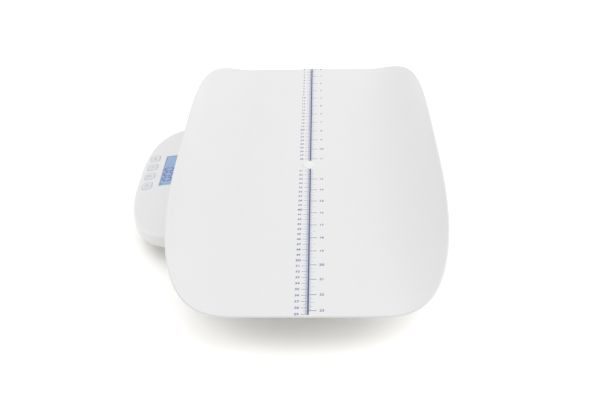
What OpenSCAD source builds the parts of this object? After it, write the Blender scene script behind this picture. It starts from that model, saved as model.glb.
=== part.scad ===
// Digital baby weighing scale: a trough-shaped tray on a load cell base, with a display console
// on its left. Millimetres. The origin is on the floor at the centre of the footprint, +Y points
// to the head end of the tray, and the console is on the -X side.

/* [Tray] */
// Width of the tray over its rims
tray_w = 348; // [320:2:360]
// Length of the tray
tray_l = 596; // [560:2:630]
// Height of the flat middle of the tray above the floor
tray_z = 58; // [56:1:66]
// Wall of the tray
tray_wall = 3; // [2.5:0.25:3.5]
// Width of a rising side of the tray
tray_side_w = 80; // [76:1:81]
// Radius of the rising sides of the tray, inside
tray_bend_r = 84; // [83:1:100]
// Height of the rims above the flat middle of the tray
tray_rim_h = 51.3; // [46:0.1:54]
// How square the tray's outline is across the width
tray_side_power = 7.6; // [5:0.1:10]
// How square the tray's outline is along the length
tray_end_power = 3.6; // [3:0.1:4.5]
// Height of the ribs under the tray
tray_rib_h = 4; // [2:0.5:5]
// Thickness of the ribs under the tray
tray_rib_t = 2; // [1.5:0.25:3]
// Distance between the two long ribs
tray_rib_gap = 120; // [100:2:130]
// Length of the long ribs
tray_rib_l = 440; // [320:10:480]
// Radius of the boss under the middle of the tray
tray_boss_r = 12.5; // [12:0.25:14]
// Radius of the pocket for the fixing screw and its plug
tray_pocket_r = 8.75; // [8.25:0.25:9.5]
// Depth of that pocket below the tray surface
tray_pocket_depth = 6.5; // [6:0.25:7]

/* [Tray plug] */
// Height of the plug above the tray
plug_h = 1.6; // [1.2:0.1:2.5]

/* [Carrier] */
// Width of the carrier plate
carrier_w = 190; // [180:2:196]
// Length of the carrier plate
carrier_l = 240; // [234:2:250]
// Thickness of the carrier plate
carrier_t = 4; // [3:0.5:5]
// Distance between the posts across the width
post_gap_x = 156; // [150:2:160]
// Distance between the posts along the length
post_gap_y = 210; // [200:2:216]
// Radius of a post
post_r = 6; // [5:0.5:7]
// Thickness of the rubber pad on a post
pad_t = 3; // [2:0.5:4]
// Radius of the rubber pad on a post
pad_r = 8.5; // [7.5:0.5:9]
// Radius of the pillar in the middle of the carrier
pillar_r = 9; // [8:0.5:11]

/* [Load cell] */
// Length of the load cell
cell_l = 130; // [126:1:136]
// Width of the load cell
cell_w = 30; // [26:1:34]
// Height of the load cell
cell_h = 22; // [20:1:24]
// Length of each end that is bolted down
cell_end_l = 30; // [28:1:32]
// Radius of the two holes that weaken the middle of the cell
cell_hole_r = 8; // [6:0.5:9]
// Distance between those two holes
cell_hole_gap = 28; // [22:1:34]
// Thickness of the spacer between the cell and the carrier
cell_spacer_t = 2; // [1.5:0.5:2.5]
// Thickness of the pad under the fixed end of the cell
cell_foot_t = 3; // [2:0.5:4]
// How far the carrier sinks before it meets the overload stops
weigh_travel = 0.8; // [0.4:0.1:1.2]
// Distance between the overload stops across the width
stop_gap_x = 160; // [150:2:166]
// Distance between the overload stops along the length
stop_gap_y = 120; // [110:2:130]
// Radius of an overload stop
stop_r = 2.5; // [2:0.5:3.5]

/* [Base] */
// Width of the base
base_w = 230; // [226:2:236]
// Length of the base
base_l = 300; // [290:2:310]
// Corner radius of the base
base_corner_r = 35; // [30:1:38]
// Height of the underside of the base above the floor
base_z = 6; // [5:0.5:7]
// Height of the joint between pan and cover
base_split_z = 28; // [26:1:30]
// Gap between the ribs of the tray and the top of the cover
tray_clear = 4; // [3:0.25:4.5]
// Wall of the pan and the cover
base_wall = 2.5; // [2:0.25:3]
// Floor of the pan
base_floor = 3; // [2.5:0.25:3.5]
// Inset of the sloping edge round the top of the cover
cover_edge = 5; // [3:0.5:7]
// Clearance of a post in the hole of the cover
post_clear = 3; // [2:0.5:4]
// Radius of a rubber foot
foot_r = 12; // [10:0.5:14]
// Distance from the side of the base to the centre of a foot
foot_inset = 20; // [18:1:24]

/* [Battery bay] */
// Radius of a battery
battery_r = 7.2; // [7:0.1:7.25]
// Length of a battery
battery_l = 50; // [49:0.5:50.5]
// Number of batteries
battery_count = 4; // [2:1:4]
// Distance from one battery to the next
battery_pitch = 15; // [14.6:0.1:15.4]
// Room for a contact at each end of a battery
contact_room = 3.5; // [3:0.25:5]
// Distance from the right side of the base to the middle of the bay
bay_inset = 57; // [55:1:59]
// Wall of the bay
bay_wall = 3; // [2:0.5:3.5]
// Thickness of the battery door
door_t = 2.5; // [2:0.1:2.5]
// Gap round the battery door
door_gap = 0.3; // [0.2:0.05:0.5]

/* [Console] */
// Distance from the middle of the tray to the outer edge of the console
console_reach = 241; // [234:1:248]
// Half width of the console's rounded outline
console_a = 79; // [76:1:82]
// Half length of the console
console_b = 135; // [131:1:140]
// How square the console's outline is
console_power = 2.85; // [2.6:0.05:3.2]
// Distance of the console's middle from the tray's, along the length
console_shift = -11.5; // [-14:0.5:-8]
// Height of the underside of the console
console_z = 26; // [24:1:27]
// Height of the joint between the two console shells
console_split_z = 34; // [33:0.5:35]
// Height of the panel in the middle of the window
panel_z = 52.25; // [51:0.25:53]
// Height at which the panel levels off under the tray
console_top_z = 56; // [55:0.5:56.5]
// Slope of the panel towards the reader
panel_slope = 8; // [7:0.25:9]
// Drop of the panel at its two ends
console_crown = 6.5; // [4:0.5:8]
// Wall of the console shells
console_wall = 2.5; // [2:0.25:3]
// Inset of the sloping edge round the bottom of the console
console_edge = 5; // [3:0.5:6]

/* [Display] */
// Distance from the outer edge of the console to the middle of the window
window_inset = 46; // [44:0.5:48]
// Length of the window
window_l = 75; // [70:1:78]
// Width of the window
window_w = 28; // [26:0.5:29]
// How far the window lies below the panel
window_sink = 0.6; // [0.3:0.1:1]
// Thickness of the window
window_t = 0.8; // [0.5:0.1:1]
// Thickness of the light guide
guide_t = 2.8; // [2:0.1:4]
// How far the light guide reaches past the window on each side
guide_lap = 2.5; // [2:0.25:3]
// Depth of the circuit board below the panel
board_depth = 12; // [11.5:0.1:12.5]
// Thickness of the circuit board
board_t = 1.6; // [1.2:0.1:1.6]
// Width of the circuit board
board_w = 61; // [60:0.5:62]
// Length of the circuit board
board_l = 112; // [110:1:116]

/* [Keys] */
// Width of a key, across the panel's slope
key_w = 14.2; // [13:0.2:15]
// Length of a key, along the row
key_l = 16.3; // [15:0.1:18.5]
// Distance from one key to the next
key_pitch = 23; // [22.6:0.1:24]
// Distance from the middle of the window to the row of keys
key_row = 31.2; // [30.2:0.1:32]
// Corner radius of a key
key_corner_r = 4.5; // [2:0.1:5]
// Height of a key above the panel
key_proud = 0.2; // [0.1:0.1:0.8]
// Travel of a key
key_travel = 0.6; // [0.3:0.1:0.8]
// Gap round a key
key_gap = 0.3; // [0.2:0.05:0.4]

/* [Hidden] */
$fn = 64;
// Clearance between a screw or stem and its hole, on the radius
fit = 0.05;
// Clearance between two pieces that lie in one another
slip = 0.3;
// Overlap of shapes that make one solid, where one must not show in the other
eps = 0.01;
// How far a shape is sunk into the wall that it stands on
sunk = 1;
// How far a cut runs past the face that it opens
past = 1;

// The footprint runs from the console's edge to the tray's rim, so its centre is left of the tray
tray_x = (console_reach - tray_w/2)/2;
half_w = tray_w/2;
half_l = tray_l/2;
tray_flat_w = tray_w - 2*tray_side_w;
tray_under = tray_z - tray_wall;
tray_rib_z = tray_under - tray_rib_h;

// Levels of the pieces that stack up between the floor and the tray
base_top_z = tray_rib_z - tray_clear;
pan_floor_z = base_z + base_floor;
cell_z = pan_floor_z + cell_foot_t;
spacer_z = cell_z + cell_h;
carrier_z = spacer_z + cell_spacer_t;
carrier_top = carrier_z + carrier_t;
post_top = tray_under - pad_t;
pocket_z = tray_z - tray_pocket_depth;
boss_floor = 2.5;
boss_z = pocket_z - boss_floor;
plug_gap = 0.2;
plug_r = tray_pocket_r - fit;

// Screws
m6_r = 3;
m5_r = 2.5;
screw_r = 1.5;
small_r = 1;
m6_head_r = 6;
m6_head_h = 3.3;
m5_head_r = 4.5;
m5_head_h = 3;
screw_head_r = 3;
screw_head_h = 2.2;
small_head_r = 1.9;
small_head_h = 1.3;
driver_w = 1;
// Depth of a screw's thread in the piece that it holds
tray_screw_grip = 10;
post_screw_grip = 6;
cell_screw_grip = 9;
base_screw_grip = 12;
console_screw_grip = 7;
neck_screw_grip = 7;
board_screw_grip = 4;
// Room round a sunk head, and its depth below the surface
head_room = 0.5;
head_sink = 0.2;
screw_sink = 1;

base_screw_inset = 10;
base_screw_gap_y = 140;
base_screw_places = [for (sx = [-1, 1], sy = [-1, 1])
                     [sx*(base_w/2 - base_screw_inset), sy*base_screw_gap_y/2],
                     for (sy = [-1, 1]) [0, sy*(base_l/2 - base_screw_inset)]];
pan_boss_h = 7;
lip_h = 3;
lip_t = 1.2;
lip_gap = 0.1;
pan_boss_r = 5;
cover_boss_r = 4;
foot_places = [for (sx = [-1, 1], sy = [-1, 1])
               [sx*(base_w/2 - foot_inset), sy*(base_l/2 - foot_inset)]];
foot_stem_r = 4;
foot_head_r = 5.5;
foot_head_h = 2;
foot_edge = 0.8;
carrier_corner_r = 10;
carrier_window_r = 6;
carrier_band_w = 42;
carrier_band_l = 76;
post_cap = 3;
post_places = [for (sx = [-1, 1], sy = [-1, 1]) [sx*post_gap_x/2, sy*post_gap_y/2]];
stop_places = [for (sx = [-1, 1], sy = [-1, 1]) [sx*stop_gap_x/2, sy*stop_gap_y/2]];
stop_boss_r = 6;
stop_z = pan_floor_z + 1;
cell_screw_places = [-7, 7];
cell_end_y = (cell_l - cell_end_l)/2;
cell_slot_h = 4;
cell_blind = 9;
cell_foot_rim = 4;

// Battery bay
bay_x = base_w/2 - bay_inset;
bay_room = 1;
bay_w = battery_count*battery_pitch + 2*bay_room;
bay_l = battery_l + 2*contact_room;
bay_h = 2*battery_r + bay_room;
bay_floor_z = base_z + door_t;
bay_top_z = bay_floor_z + bay_h;
bay_roof = 2;
door_lap = 1.5;
door_slack = 0.1;
door_w = bay_w + 2*door_lap;
door_l = bay_l + 2*door_lap;
hinge_r = (door_t - door_slack)/2;
hinge_y = door_l/2 - hinge_r;
plate_w = 11;
tab_w = battery_pitch - plate_w - 2*slip;
tab_room = 1;
tab_lift = 0.2;
tab_root = 3;
tab_reach = 2.2;
tab_t = 1.2;
tab_xs = [for (sx = [-1, 1]) bay_x + sx*(battery_count - 2)*battery_pitch/2];
battery_z = bay_floor_z + slip + battery_r;
nub_r = 2.7;
nub_h = 1;
battery_xs = [for (i = [0:battery_count - 1]) bay_x + (i - (battery_count - 1)/2)*battery_pitch];
plate_t = 0.5;
spring_wire_r = 0.4;
spring_r = [4.6, 2.6];
spring_turns = 4.5;
lead_r = 1.5;
battery_lead_r = 1.2;

// Console
console_cx = -(console_reach - console_a);
neck_x = -base_w/2;
neck_screw_z = (console_split_z + base_top_z - cover_edge)/2;
neck_screw_ys = [-70, 0, 70];
neck_boss_l = 9;
neck_boss_r = 3.8;
lead_hole_y = 30;
lead_hole_r = 4.5;
console_screw_inset = 26;
console_screw_gap_y = 196;
console_screw_places = [for (x = [console_cx - console_a/2, neck_x - console_screw_inset], sy = [-1, 1])
                        [x, console_shift + sy*console_screw_gap_y/2]];
crown_power = 2.6;
window_x = console_reach - window_inset;

// Heights of the pieces behind the panel, measured square to it from its middle
key_flange_w = 0.9;
key_ys = [for (i = [-1.5:1.5]) i*key_pitch];
keys_l = 3*key_pitch + key_l;
panel_under = -console_wall - crown(keys_l/2 + key_flange_w);
window_top = -window_sink - crown(window_l/2);
lcd_top = window_top - window_t - fit;
guide_z = panel_under - fit;
guide_l = window_l + 2*guide_lap;
guide_w = window_w + 2*guide_lap;
frame_wall = 2;
tail_w = 4;
tail_inset = 5;
frame_floor_z = guide_z - guide_t - slip;
board_edge = 0.5;
board_corner_r = 6;
board_boss_r = 3;
mat_t = 1;
dome_h = key_travel + 1;
dome_r = 4.5;
dome_top_r = 3.2;
mat_w = 18;
board_left = -(key_row + mat_w/2 + board_edge);
board_screw_inset = [5, 8];
board_screw_places = [for (x = [board_left + board_screw_inset[0],
                               board_left + board_w - board_screw_inset[1]], sy = [-1, 1])
                      [x, sy*(board_l/2 - board_boss_r - 1)]];
key_flange_t = 1;
key_flange_gap = 0.2;
key_stem_w = 5;
stem_gap = 0.2;
// Each chip: place across and along the board, width, length, height
chips = [[-24, -20, 10, 10, 1.6], [-24, 6, 7, 5, 1.5], [-8, -44, 5, 4, 1.2], [4, 6, 6, 8, 1.4]];
// Each capacitor: place across and along the board, radius, height
cans = [[-30, 30, 2.5, 3.5], [-20, 38, 2.5, 3.5], [-10, 24, 1.8, 4]];
// Each socket: width, length, height
socket = [6, 8, 5];
socket_x = 13;
socket_ys = [24, 36];
buzzer_place = [6, -34];
buzzer_r = 6;
buzzer_h = 5;
buzzer_hole_r = 1;
dome_top_z = -board_depth + mat_t + dome_h;
board_under = -board_depth - board_t;

// Outline points of a superellipse with half sizes a and b
function squircle(a, b, pa, pb, n) =
    [for (i = [0:n - 1]) let (t = 360*(i + 0.5)/n)
     [sign(cos(t))*a*pow(abs(cos(t)), 2/pa), sign(sin(t))*b*pow(abs(sin(t)), 2/pb)]];

// Point of the tray's section on an arc of radius r, at an angle from the flat middle
function bend_point(r, angle) =
    [tray_flat_w/2 + r*sin(angle), tray_z + tray_bend_r - r*cos(angle)];

// Drop of the panel at distance y from the middle of the tray
function crown(y) = console_crown*pow(abs(y - console_shift)/console_b, crown_power);

module rounded(w, l, r, h) {
    linear_extrude(h) {
        square([w - 2*r, l], center = true);
        square([w, l - 2*r], center = true);
        for (sx = [-1, 1], sy = [-1, 1])
            translate([sx*(w/2 - r), sy*(l/2 - r)])
                circle(r);
    }
}

module block(w, l, h) {
    translate([-w/2, -l/2, 0])
        cube([w, l, h]);
}

// Screw standing on its head, shank upwards
module screw(shank_r, shank_l, head_r, head_h) {
    difference() {
        union() {
            cylinder(r = head_r, h = head_h);
            cylinder(r = shank_r, h = head_h + shank_l);
        }
        translate([0, 0, -eps]) {
            block(head_r, driver_w, head_h/2);
            block(driver_w, head_r, head_h/2);
        }
    }
}

// Puts a piece in the panel's own frame: z = 0 on its surface, x up the slope
module on_panel() {
    translate([-window_x, 0, panel_z])
        rotate([0, -panel_slope, 0])
            children();
}

// ---- Tray and what moves with it ----

module tray_section() {
    rim_angle = asin((tray_side_w + past)/tray_bend_r);
    steps = 18;
    inner = [for (i = [0:steps]) bend_point(tray_bend_r, rim_angle*i/steps)];
    outer = [for (i = [steps:-1:0]) bend_point(tray_bend_r + tray_wall, rim_angle*i/steps)];
    right = concat(inner, outer);
    left = [for (i = [len(right) - 1:-1:0]) [-right[i][0], right[i][1]]];
    polygon(concat(right, left));
}

module tray() {
    color("whitesmoke")
        difference() {
            union() {
                intersection() {
                    translate([0, half_l + past, 0])
                        rotate([90, 0, 0])
                            linear_extrude(tray_l + 2*past)
                                tray_section();
                    linear_extrude(tray_z + tray_rim_h)
                        polygon(squircle(half_w, half_l, tray_side_power, tray_end_power, 96));
                }
                for (sx = [-1, 1])
                    translate([sx*tray_rib_gap/2, 0, tray_rib_z])
                        block(tray_rib_t, tray_rib_l, tray_rib_h + sunk);
                for (sy = [-3, -1, 1, 3])
                    translate([0, sy*tray_rib_l/8, tray_rib_z])
                        block(tray_rib_gap, tray_rib_t, tray_rib_h + sunk);
                translate([0, 0, boss_z])
                    cylinder(r = tray_boss_r, h = tray_under - boss_z + sunk);
            }
            translate([0, 0, pocket_z])
                cylinder(r = tray_pocket_r, h = 2*tray_pocket_depth);
            translate([0, 0, boss_z - past])
                cylinder(r = m6_r + fit, h = tray_pocket_depth);
        }
}

module tray_plug() {
    edge_h = 0.3;
    rise = plug_h - edge_h;
    curve_r = (plug_r*plug_r + rise*rise)/(2*rise);
    stem_z = pocket_z + m6_head_h + plug_gap;
    color("white")
        union() {
            intersection() {
                translate([0, 0, tray_z + plug_h - curve_r])
                    sphere(curve_r, $fn = 96);
                translate([0, 0, tray_z])
                    cylinder(r = plug_r, h = 2*plug_h);
            }
            translate([0, 0, stem_z])
                cylinder(r = plug_r, h = tray_z - stem_z + edge_h);
        }
}

module tray_screw() {
    color("silver")
        translate([0, 0, pocket_z + m6_head_h])
            rotate([180, 0, 0])
                screw(m6_r, boss_floor + tray_screw_grip, m6_head_r, m6_head_h);
}

module carrier_plate() {
    color("lightgray")
        difference() {
            union() {
                translate([0, 0, carrier_z])
                    rounded(carrier_w, carrier_l, carrier_corner_r, carrier_t);
                translate([0, 0, carrier_z])
                    cylinder(r = pillar_r, h = boss_z - carrier_z);
            }
            translate([0, 0, carrier_z - past])
                cylinder(r = m6_r + fit, h = boss_z);
            for (p = post_places)
                translate([p[0], p[1], carrier_z - past])
                    cylinder(r = m5_r + fit, h = carrier_t + 2*past);
            for (dy = cell_screw_places)
                translate([0, cell_end_y + dy, carrier_z - past])
                    cylinder(r = m5_r + fit, h = carrier_t + 2*past);
            for (sx = [-1, 1], sy = [-1, 1])
                translate([sx*carrier_w/4, sy*carrier_l/4, carrier_z - past])
                    rounded(carrier_w/2 - carrier_band_w, carrier_l/2 - carrier_band_l,
                            carrier_window_r, carrier_t + 2*past);
        }
}

module carrier_posts() {
    color("silver")
        for (p = post_places)
            translate([p[0], p[1], carrier_top])
                difference() {
                    cylinder(r = post_r, h = post_top - carrier_top);
                    translate([0, 0, -past])
                        cylinder(r = m5_r + fit, h = post_top - carrier_top - post_cap + past);
                }
}

module post_screws() {
    color("gray")
        for (p = post_places)
            translate([p[0], p[1], carrier_z - m5_head_h])
                screw(m5_r, carrier_t + post_screw_grip, m5_head_r, m5_head_h);
}

module post_pads() {
    color("dimgray")
        for (p = post_places)
            translate([p[0], p[1], post_top])
                cylinder(r = pad_r, h = pad_t);
}

module cell_spacer() {
    color("silver")
        difference() {
            translate([0, cell_end_y, spacer_z])
                block(cell_w, cell_end_l, cell_spacer_t);
            for (dy = cell_screw_places)
                translate([0, cell_end_y + dy, spacer_z - past])
                    cylinder(r = m5_r + fit, h = cell_spacer_t + 2*past);
        }
}

module carrier_screws() {
    color("gray")
        for (dy = cell_screw_places)
            translate([0, cell_end_y + dy, carrier_top + m5_head_h])
                rotate([180, 0, 0])
                    screw(m5_r, carrier_t + cell_spacer_t + cell_screw_grip, m5_head_r, m5_head_h);
}

// ---- Load cell and base ----

module load_cell() {
    mid_z = cell_z + cell_h/2;
    color("lightsteelblue")
        difference() {
            translate([0, 0, cell_z])
                block(cell_w, cell_l, cell_h);
            for (sy = [-1, 1])
                translate([-cell_w, sy*cell_hole_gap/2, mid_z])
                    rotate([0, 90, 0])
                        cylinder(r = cell_hole_r, h = 2*cell_w);
            translate([0, 0, mid_z - cell_slot_h/2])
                block(2*cell_w, cell_hole_gap, cell_slot_h);
            for (dy = cell_screw_places) {
                translate([0, cell_end_y + dy, cell_z + cell_blind])
                    cylinder(r = m5_r + fit, h = cell_h);
                translate([0, -cell_end_y + dy, cell_z - past])
                    cylinder(r = m5_r + fit, h = cell_h - cell_blind + past);
            }
        }
}

module cell_base_screws() {
    color("gray")
        for (dy = cell_screw_places)
            translate([0, -cell_end_y + dy, base_z + head_sink])
                screw(m5_r, cell_z - base_z - head_sink - m5_head_h + cell_screw_grip,
                      m5_head_r, m5_head_h);
}

module overload_stops() {
    top = carrier_z - weigh_travel - fit;
    color("gray")
        for (p = stop_places)
            translate([p[0], p[1], stop_z])
                cylinder(r = stop_r, h = top - stop_z);
}

module base_pan() {
    inner_w = base_w - 2*base_wall;
    inner_l = base_l - 2*base_wall;
    color("gainsboro")
        difference() {
            union() {
                difference() {
                    translate([0, 0, base_z])
                        rounded(base_w, base_l, base_corner_r, base_split_z - base_z);
                    translate([0, 0, pan_floor_z])
                        rounded(inner_w, inner_l, base_corner_r - base_wall, base_split_z);
                }
                for (p = base_screw_places)
                    translate([p[0], p[1], base_z])
                        cylinder(r = pan_boss_r, h = base_floor + pan_boss_h);
                for (p = stop_places)
                    translate([p[0], p[1], base_z])
                        cylinder(r = stop_boss_r, h = base_split_z - base_z);
                translate([0, -cell_end_y, base_z])
                    block(cell_w + 2*cell_foot_rim, cell_end_l, cell_z - base_z);
                translate([bay_x, 0, base_z])
                    block(bay_w + 2*bay_wall, bay_l + 2*bay_wall, bay_top_z - base_z + bay_roof);
            }
            for (p = base_screw_places)
                translate([p[0], p[1], base_z - past]) {
                    cylinder(r = screw_head_r + head_room, h = past + screw_sink + screw_head_h);
                    cylinder(r = screw_r + fit, h = base_split_z);
                }
            for (p = stop_places)
                translate([p[0], p[1], stop_z])
                    cylinder(r = stop_r + fit, h = base_split_z);
            for (p = foot_places)
                translate([p[0], p[1], base_z - past])
                    cylinder(r = foot_stem_r + fit, h = base_floor + 2*past);
            for (dy = cell_screw_places)
                translate([0, -cell_end_y + dy, base_z - past]) {
                    cylinder(r = m5_head_r + head_room, h = past + head_sink + m5_head_h);
                    cylinder(r = m5_r + fit, h = 2*past + cell_z - base_z);
                }
            translate([bay_x, 0, bay_floor_z])
                block(bay_w, bay_l, bay_h);
            translate([bay_x, 0, base_z - past])
                block(door_w + 2*door_gap, door_l + 2*door_gap, door_t + past + eps);
            for (x = tab_xs)
                translate([x, door_l/2, bay_floor_z])
                    block(tab_w + 2*tab_room, 4*tab_reach, tab_t + 2*tab_room);
        }
}

module cover_outside(inset, top) {
    hull() {
        translate([0, 0, base_split_z])
            rounded(base_w - 2*inset, base_l - 2*inset, base_corner_r - inset,
                    top - cover_edge - base_split_z, $fn = 32);
        translate([0, 0, top - sunk])
            rounded(base_w - 2*inset - 2*cover_edge, base_l - 2*inset - 2*cover_edge,
                    base_corner_r - inset - cover_edge, sunk, $fn = 32);
    }
}

module base_cover() {
    under = base_top_z - base_wall;
    lip_inset = base_wall + lip_gap;
    screw_boss_z = pan_floor_z + pan_boss_h;
    color("white")
        difference() {
            union() {
                difference() {
                    cover_outside(0, base_top_z);
                    translate([0, 0, -eps])
                        cover_outside(base_wall, under);
                }
                difference() {
                    translate([0, 0, base_split_z - lip_h])
                        rounded(base_w - 2*lip_inset, base_l - 2*lip_inset,
                                base_corner_r - lip_inset, 2*lip_h);
                    translate([0, 0, base_split_z - lip_h - past])
                        rounded(base_w - 2*lip_inset - 2*lip_t, base_l - 2*lip_inset - 2*lip_t,
                                base_corner_r - lip_inset - lip_t, 2*lip_h + 2*past);
                }
                for (p = base_screw_places)
                    translate([p[0], p[1], screw_boss_z])
                        cylinder(r = cover_boss_r, h = under + sunk - screw_boss_z);
            }
            for (p = base_screw_places)
                translate([p[0], p[1], screw_boss_z - past])
                    cylinder(r = screw_r + fit, h = past + base_screw_grip + 1);
            for (p = post_places)
                translate([p[0], p[1], under - past])
                    cylinder(r = post_r + post_clear, h = base_wall + 2*past);
            translate([0, 0, under - past])
                cylinder(r = tray_boss_r + post_clear, h = base_wall + 2*past);
            for (y = neck_screw_ys)
                translate([neck_x, y, neck_screw_z])
                    rotate([0, 90, 0]) {
                        translate([0, 0, -past])
                            cylinder(r = screw_r + fit, h = base_wall + 2*past);
                        translate([0, 0, base_wall])
                            cylinder(r = screw_head_r + head_room, h = 2*screw_head_h);
                    }
            translate([neck_x - past, lead_hole_y, neck_screw_z])
                rotate([0, 90, 0])
                    cylinder(r = lead_hole_r, h = base_wall + 2*past);
        }
}

module base_screws() {
    color("gray")
        for (p = base_screw_places)
            translate([p[0], p[1], base_z + screw_sink])
                screw(screw_r, pan_floor_z + pan_boss_h - base_z - screw_sink - screw_head_h
                               + base_screw_grip, screw_head_r, screw_head_h);
}

module rubber_feet() {
    color("dimgray")
        for (p = foot_places)
            translate([p[0], p[1], 0])
                union() {
                    cylinder(r1 = foot_r - foot_edge, r2 = foot_r, h = foot_edge);
                    translate([0, 0, foot_edge])
                        cylinder(r = foot_r, h = base_z - foot_edge);
                    cylinder(r = foot_stem_r, h = pan_floor_z);
                    translate([0, 0, pan_floor_z])
                        cylinder(r = foot_head_r, h = foot_head_h);
                }
}

// ---- Power ----

// One battery along +Y, its nub at the far end
module battery() {
    rotate([-90, 0, 0])
        union() {
            cylinder(r = battery_r, h = battery_l - nub_h);
            cylinder(r = nub_r, h = battery_l);
        }
}

// Turns every second child round, so that neighbouring batteries point opposite ways
module at_battery(i) {
    translate([battery_xs[i], 0, battery_z])
        rotate([0, 0, 180*(i % 2)])
            translate([0, -bay_l/2, 0])
                children();
}

module batteries() {
    color("goldenrod")
        for (i = [0:battery_count - 1])
            at_battery(i)
                translate([0, bay_l - plate_t - fit - battery_l, 0])
                    battery();
}

module battery_springs() {
    spring_l = bay_l - 2*plate_t - battery_l - 3*fit;
    steps = 12;
    count = spring_turns*steps;
    path = [for (i = [0:count])
            let (a = 360*i/steps, r = spring_r[0] + (spring_r[1] - spring_r[0])*i/count)
            [r*cos(a), plate_t + fit + spring_wire_r + (spring_l - 2*spring_wire_r)*i/count,
             r*sin(a)]];
    color("silver")
        for (i = [0:battery_count - 1])
            at_battery(i)
                tube(path, spring_wire_r, 6);
}

module battery_plates() {
    color("silver")
        for (i = [0:battery_count - 1])
            at_battery(i)
                for (y = [plate_t/2, bay_l - plate_t/2])
                    translate([0, y, -plate_w/2])
                        block(plate_w, plate_t, plate_w);
}

module battery_door() {
    grip_count = 5;
    grip_w = 0.8;
    grip_depth = 0.6;
    grip_inset = 4;
    color("gainsboro")
        difference() {
            union() {
                translate([bay_x, -hinge_r/2, base_z])
                    block(door_w, door_l - hinge_r, door_t - door_slack);
                translate([bay_x - door_w/2, hinge_y, base_z + hinge_r])
                    rotate([0, 90, 0])
                        cylinder(r = hinge_r, h = door_w);
                for (x = tab_xs)
                    translate([x, door_l/2, base_z + door_t/2]) {
                        translate([0, -tab_root/2, 0])
                            block(tab_w, tab_root, door_t/2 + tab_lift + tab_t);
                        translate([0, (tab_reach - tab_root)/2, door_t/2 + tab_lift])
                            block(tab_w, tab_reach + tab_root, tab_t);
                    }
            }
            for (i = [1:grip_count])
                translate([bay_x, -door_l/2 + grip_inset + 2*i, base_z - eps])
                    block(door_w/3, grip_w, grip_depth);
        }
}

// Points of a smooth curve through the points p
function spline(p, n) =
    concat([for (i = [0:len(p) - 2], j = [0:n - 1])
            let (t = j/n, a = p[max(i - 1, 0)], b = p[i], c = p[i + 1],
                 d = p[min(i + 2, len(p) - 1)])
            (2*b + (c - a)*t + (2*a - 5*b + 4*c - d)*t*t + (3*b - a - 3*c + d)*t*t*t)/2],
           [p[len(p) - 1]]);
function unit(v) = v/norm(v);
function tangents(p) =
    [for (i = [0:len(p) - 1]) unit(p[min(i + 1, len(p) - 1)] - p[max(i - 1, 0)])];
function carried(ts, i, n) =
    i == len(ts) ? [] : let (u = unit(n - (n*ts[i])*ts[i])) concat([u], carried(ts, i + 1, u));

// Round bar of radius r along the points p
module tube(p, r, sides) {
    ts = tangents(p);
    ns = carried(ts, 0, unit([0.13, 0.29, 1]));
    rings = [for (i = [0:len(p) - 1], k = [0:sides - 1])
             p[i] + r*(cos(360*k/sides)*ns[i] + sin(360*k/sides)*cross(ts[i], ns[i]))];
    last = (len(p) - 1)*sides;
    faces = concat(
        [[for (k = [0:sides - 1]) k]],
        [for (i = [0:len(p) - 2], k = [0:sides - 1])
         [i*sides + k, (i + 1)*sides + k, (i + 1)*sides + (k + 1) % sides, i*sides + (k + 1) % sides]],
        [[for (k = [sides - 1:-1:0]) last + k]]);
    polyhedron(rings, faces, convexity = 6);
}

// Routes of the leads: from the load cell or the battery bay, through the hole in the neck, to
// the sockets behind the display
socket_at = -window_x + 18.5;
cell_lead_route = [[-15, -45, 20], [-22, -45, 19], [-32, -42, 15], [-45, -34, 12.5],
                   [-60, -20, 11.5], [neck_x + 39, -4, 11.5], [neck_x + 25, 10, 13.5],
                   [neck_x + 15, 20, 20], [neck_x + 9, 27, 29], [neck_x + 4, 28, 37],
                   [neck_x - 5, 28, 38], [neck_x - 20, 27, 36.5], [socket_at + 21.5, 25, 35.6],
                   [socket_at + 8.5, 24, 36.8], [socket_at, 24, 37.9]];
battery_lead_route = [[bay_x - 34, 20, 18], [bay_x - 38, 25, 16], [bay_x - 39, 40, 12.5], [18, 60, 11],
                      [10, 74, 11], [-5, 80, 11], [-25, 78, 11], [-50, 66, 11],
                      [neck_x + 43, 50, 11.5], [neck_x + 25, 38, 14], [neck_x + 15, 33, 22],
                      [neck_x + 8, 32, 31], [neck_x + 3, 32, 37.5], [neck_x - 5, 32, 38],
                      [neck_x - 20, 33, 36.5], [socket_at + 21.5, 35, 35.6],
                      [socket_at + 8.5, 36, 36.8], [socket_at, 36, 37.9]];

module load_cell_lead() {
    color("dimgray")
        tube(spline(cell_lead_route, 2), lead_r, 8);
}

module battery_lead() {
    color("firebrick")
        tube(spline(battery_lead_route, 2), battery_lead_r, 8);
}

// ---- Console ----

module console_outline(inset, h) {
    linear_extrude(h)
        translate([console_cx, console_shift])
            polygon(squircle(console_a - inset, console_b - inset, console_power, console_power, 72));
}

// Everything that lies deeper than the given depth below the panel
module below_panel(depth) {
    half = 1.1*console_b;
    steps = 15;
    top = [for (i = [-steps:steps]) let (y = console_shift + half*i/steps) [y, -crown(y)]];
    below = [[console_shift + half, -console_top_z], [console_shift - half, -console_top_z]];
    intersection() {
        on_panel()
            translate([-2*console_a, 0, -depth])
                rotate([90, 0, 90])
                    linear_extrude(4*console_a)
                        polygon(concat(below, top));
        translate([-2*console_reach, -console_reach, 0])
            cube([2*console_reach + neck_x, 2*console_reach, console_top_z - depth]);
    }
}

module console_shape(inset, z) {
    intersection() {
        translate([0, 0, z])
            console_outline(inset, console_top_z);
        below_panel(inset);
        translate([-2*console_reach, -console_reach, 0])
            cube([2*console_reach + neck_x - inset, 2*console_reach, 2*console_top_z]);
    }
}

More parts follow.
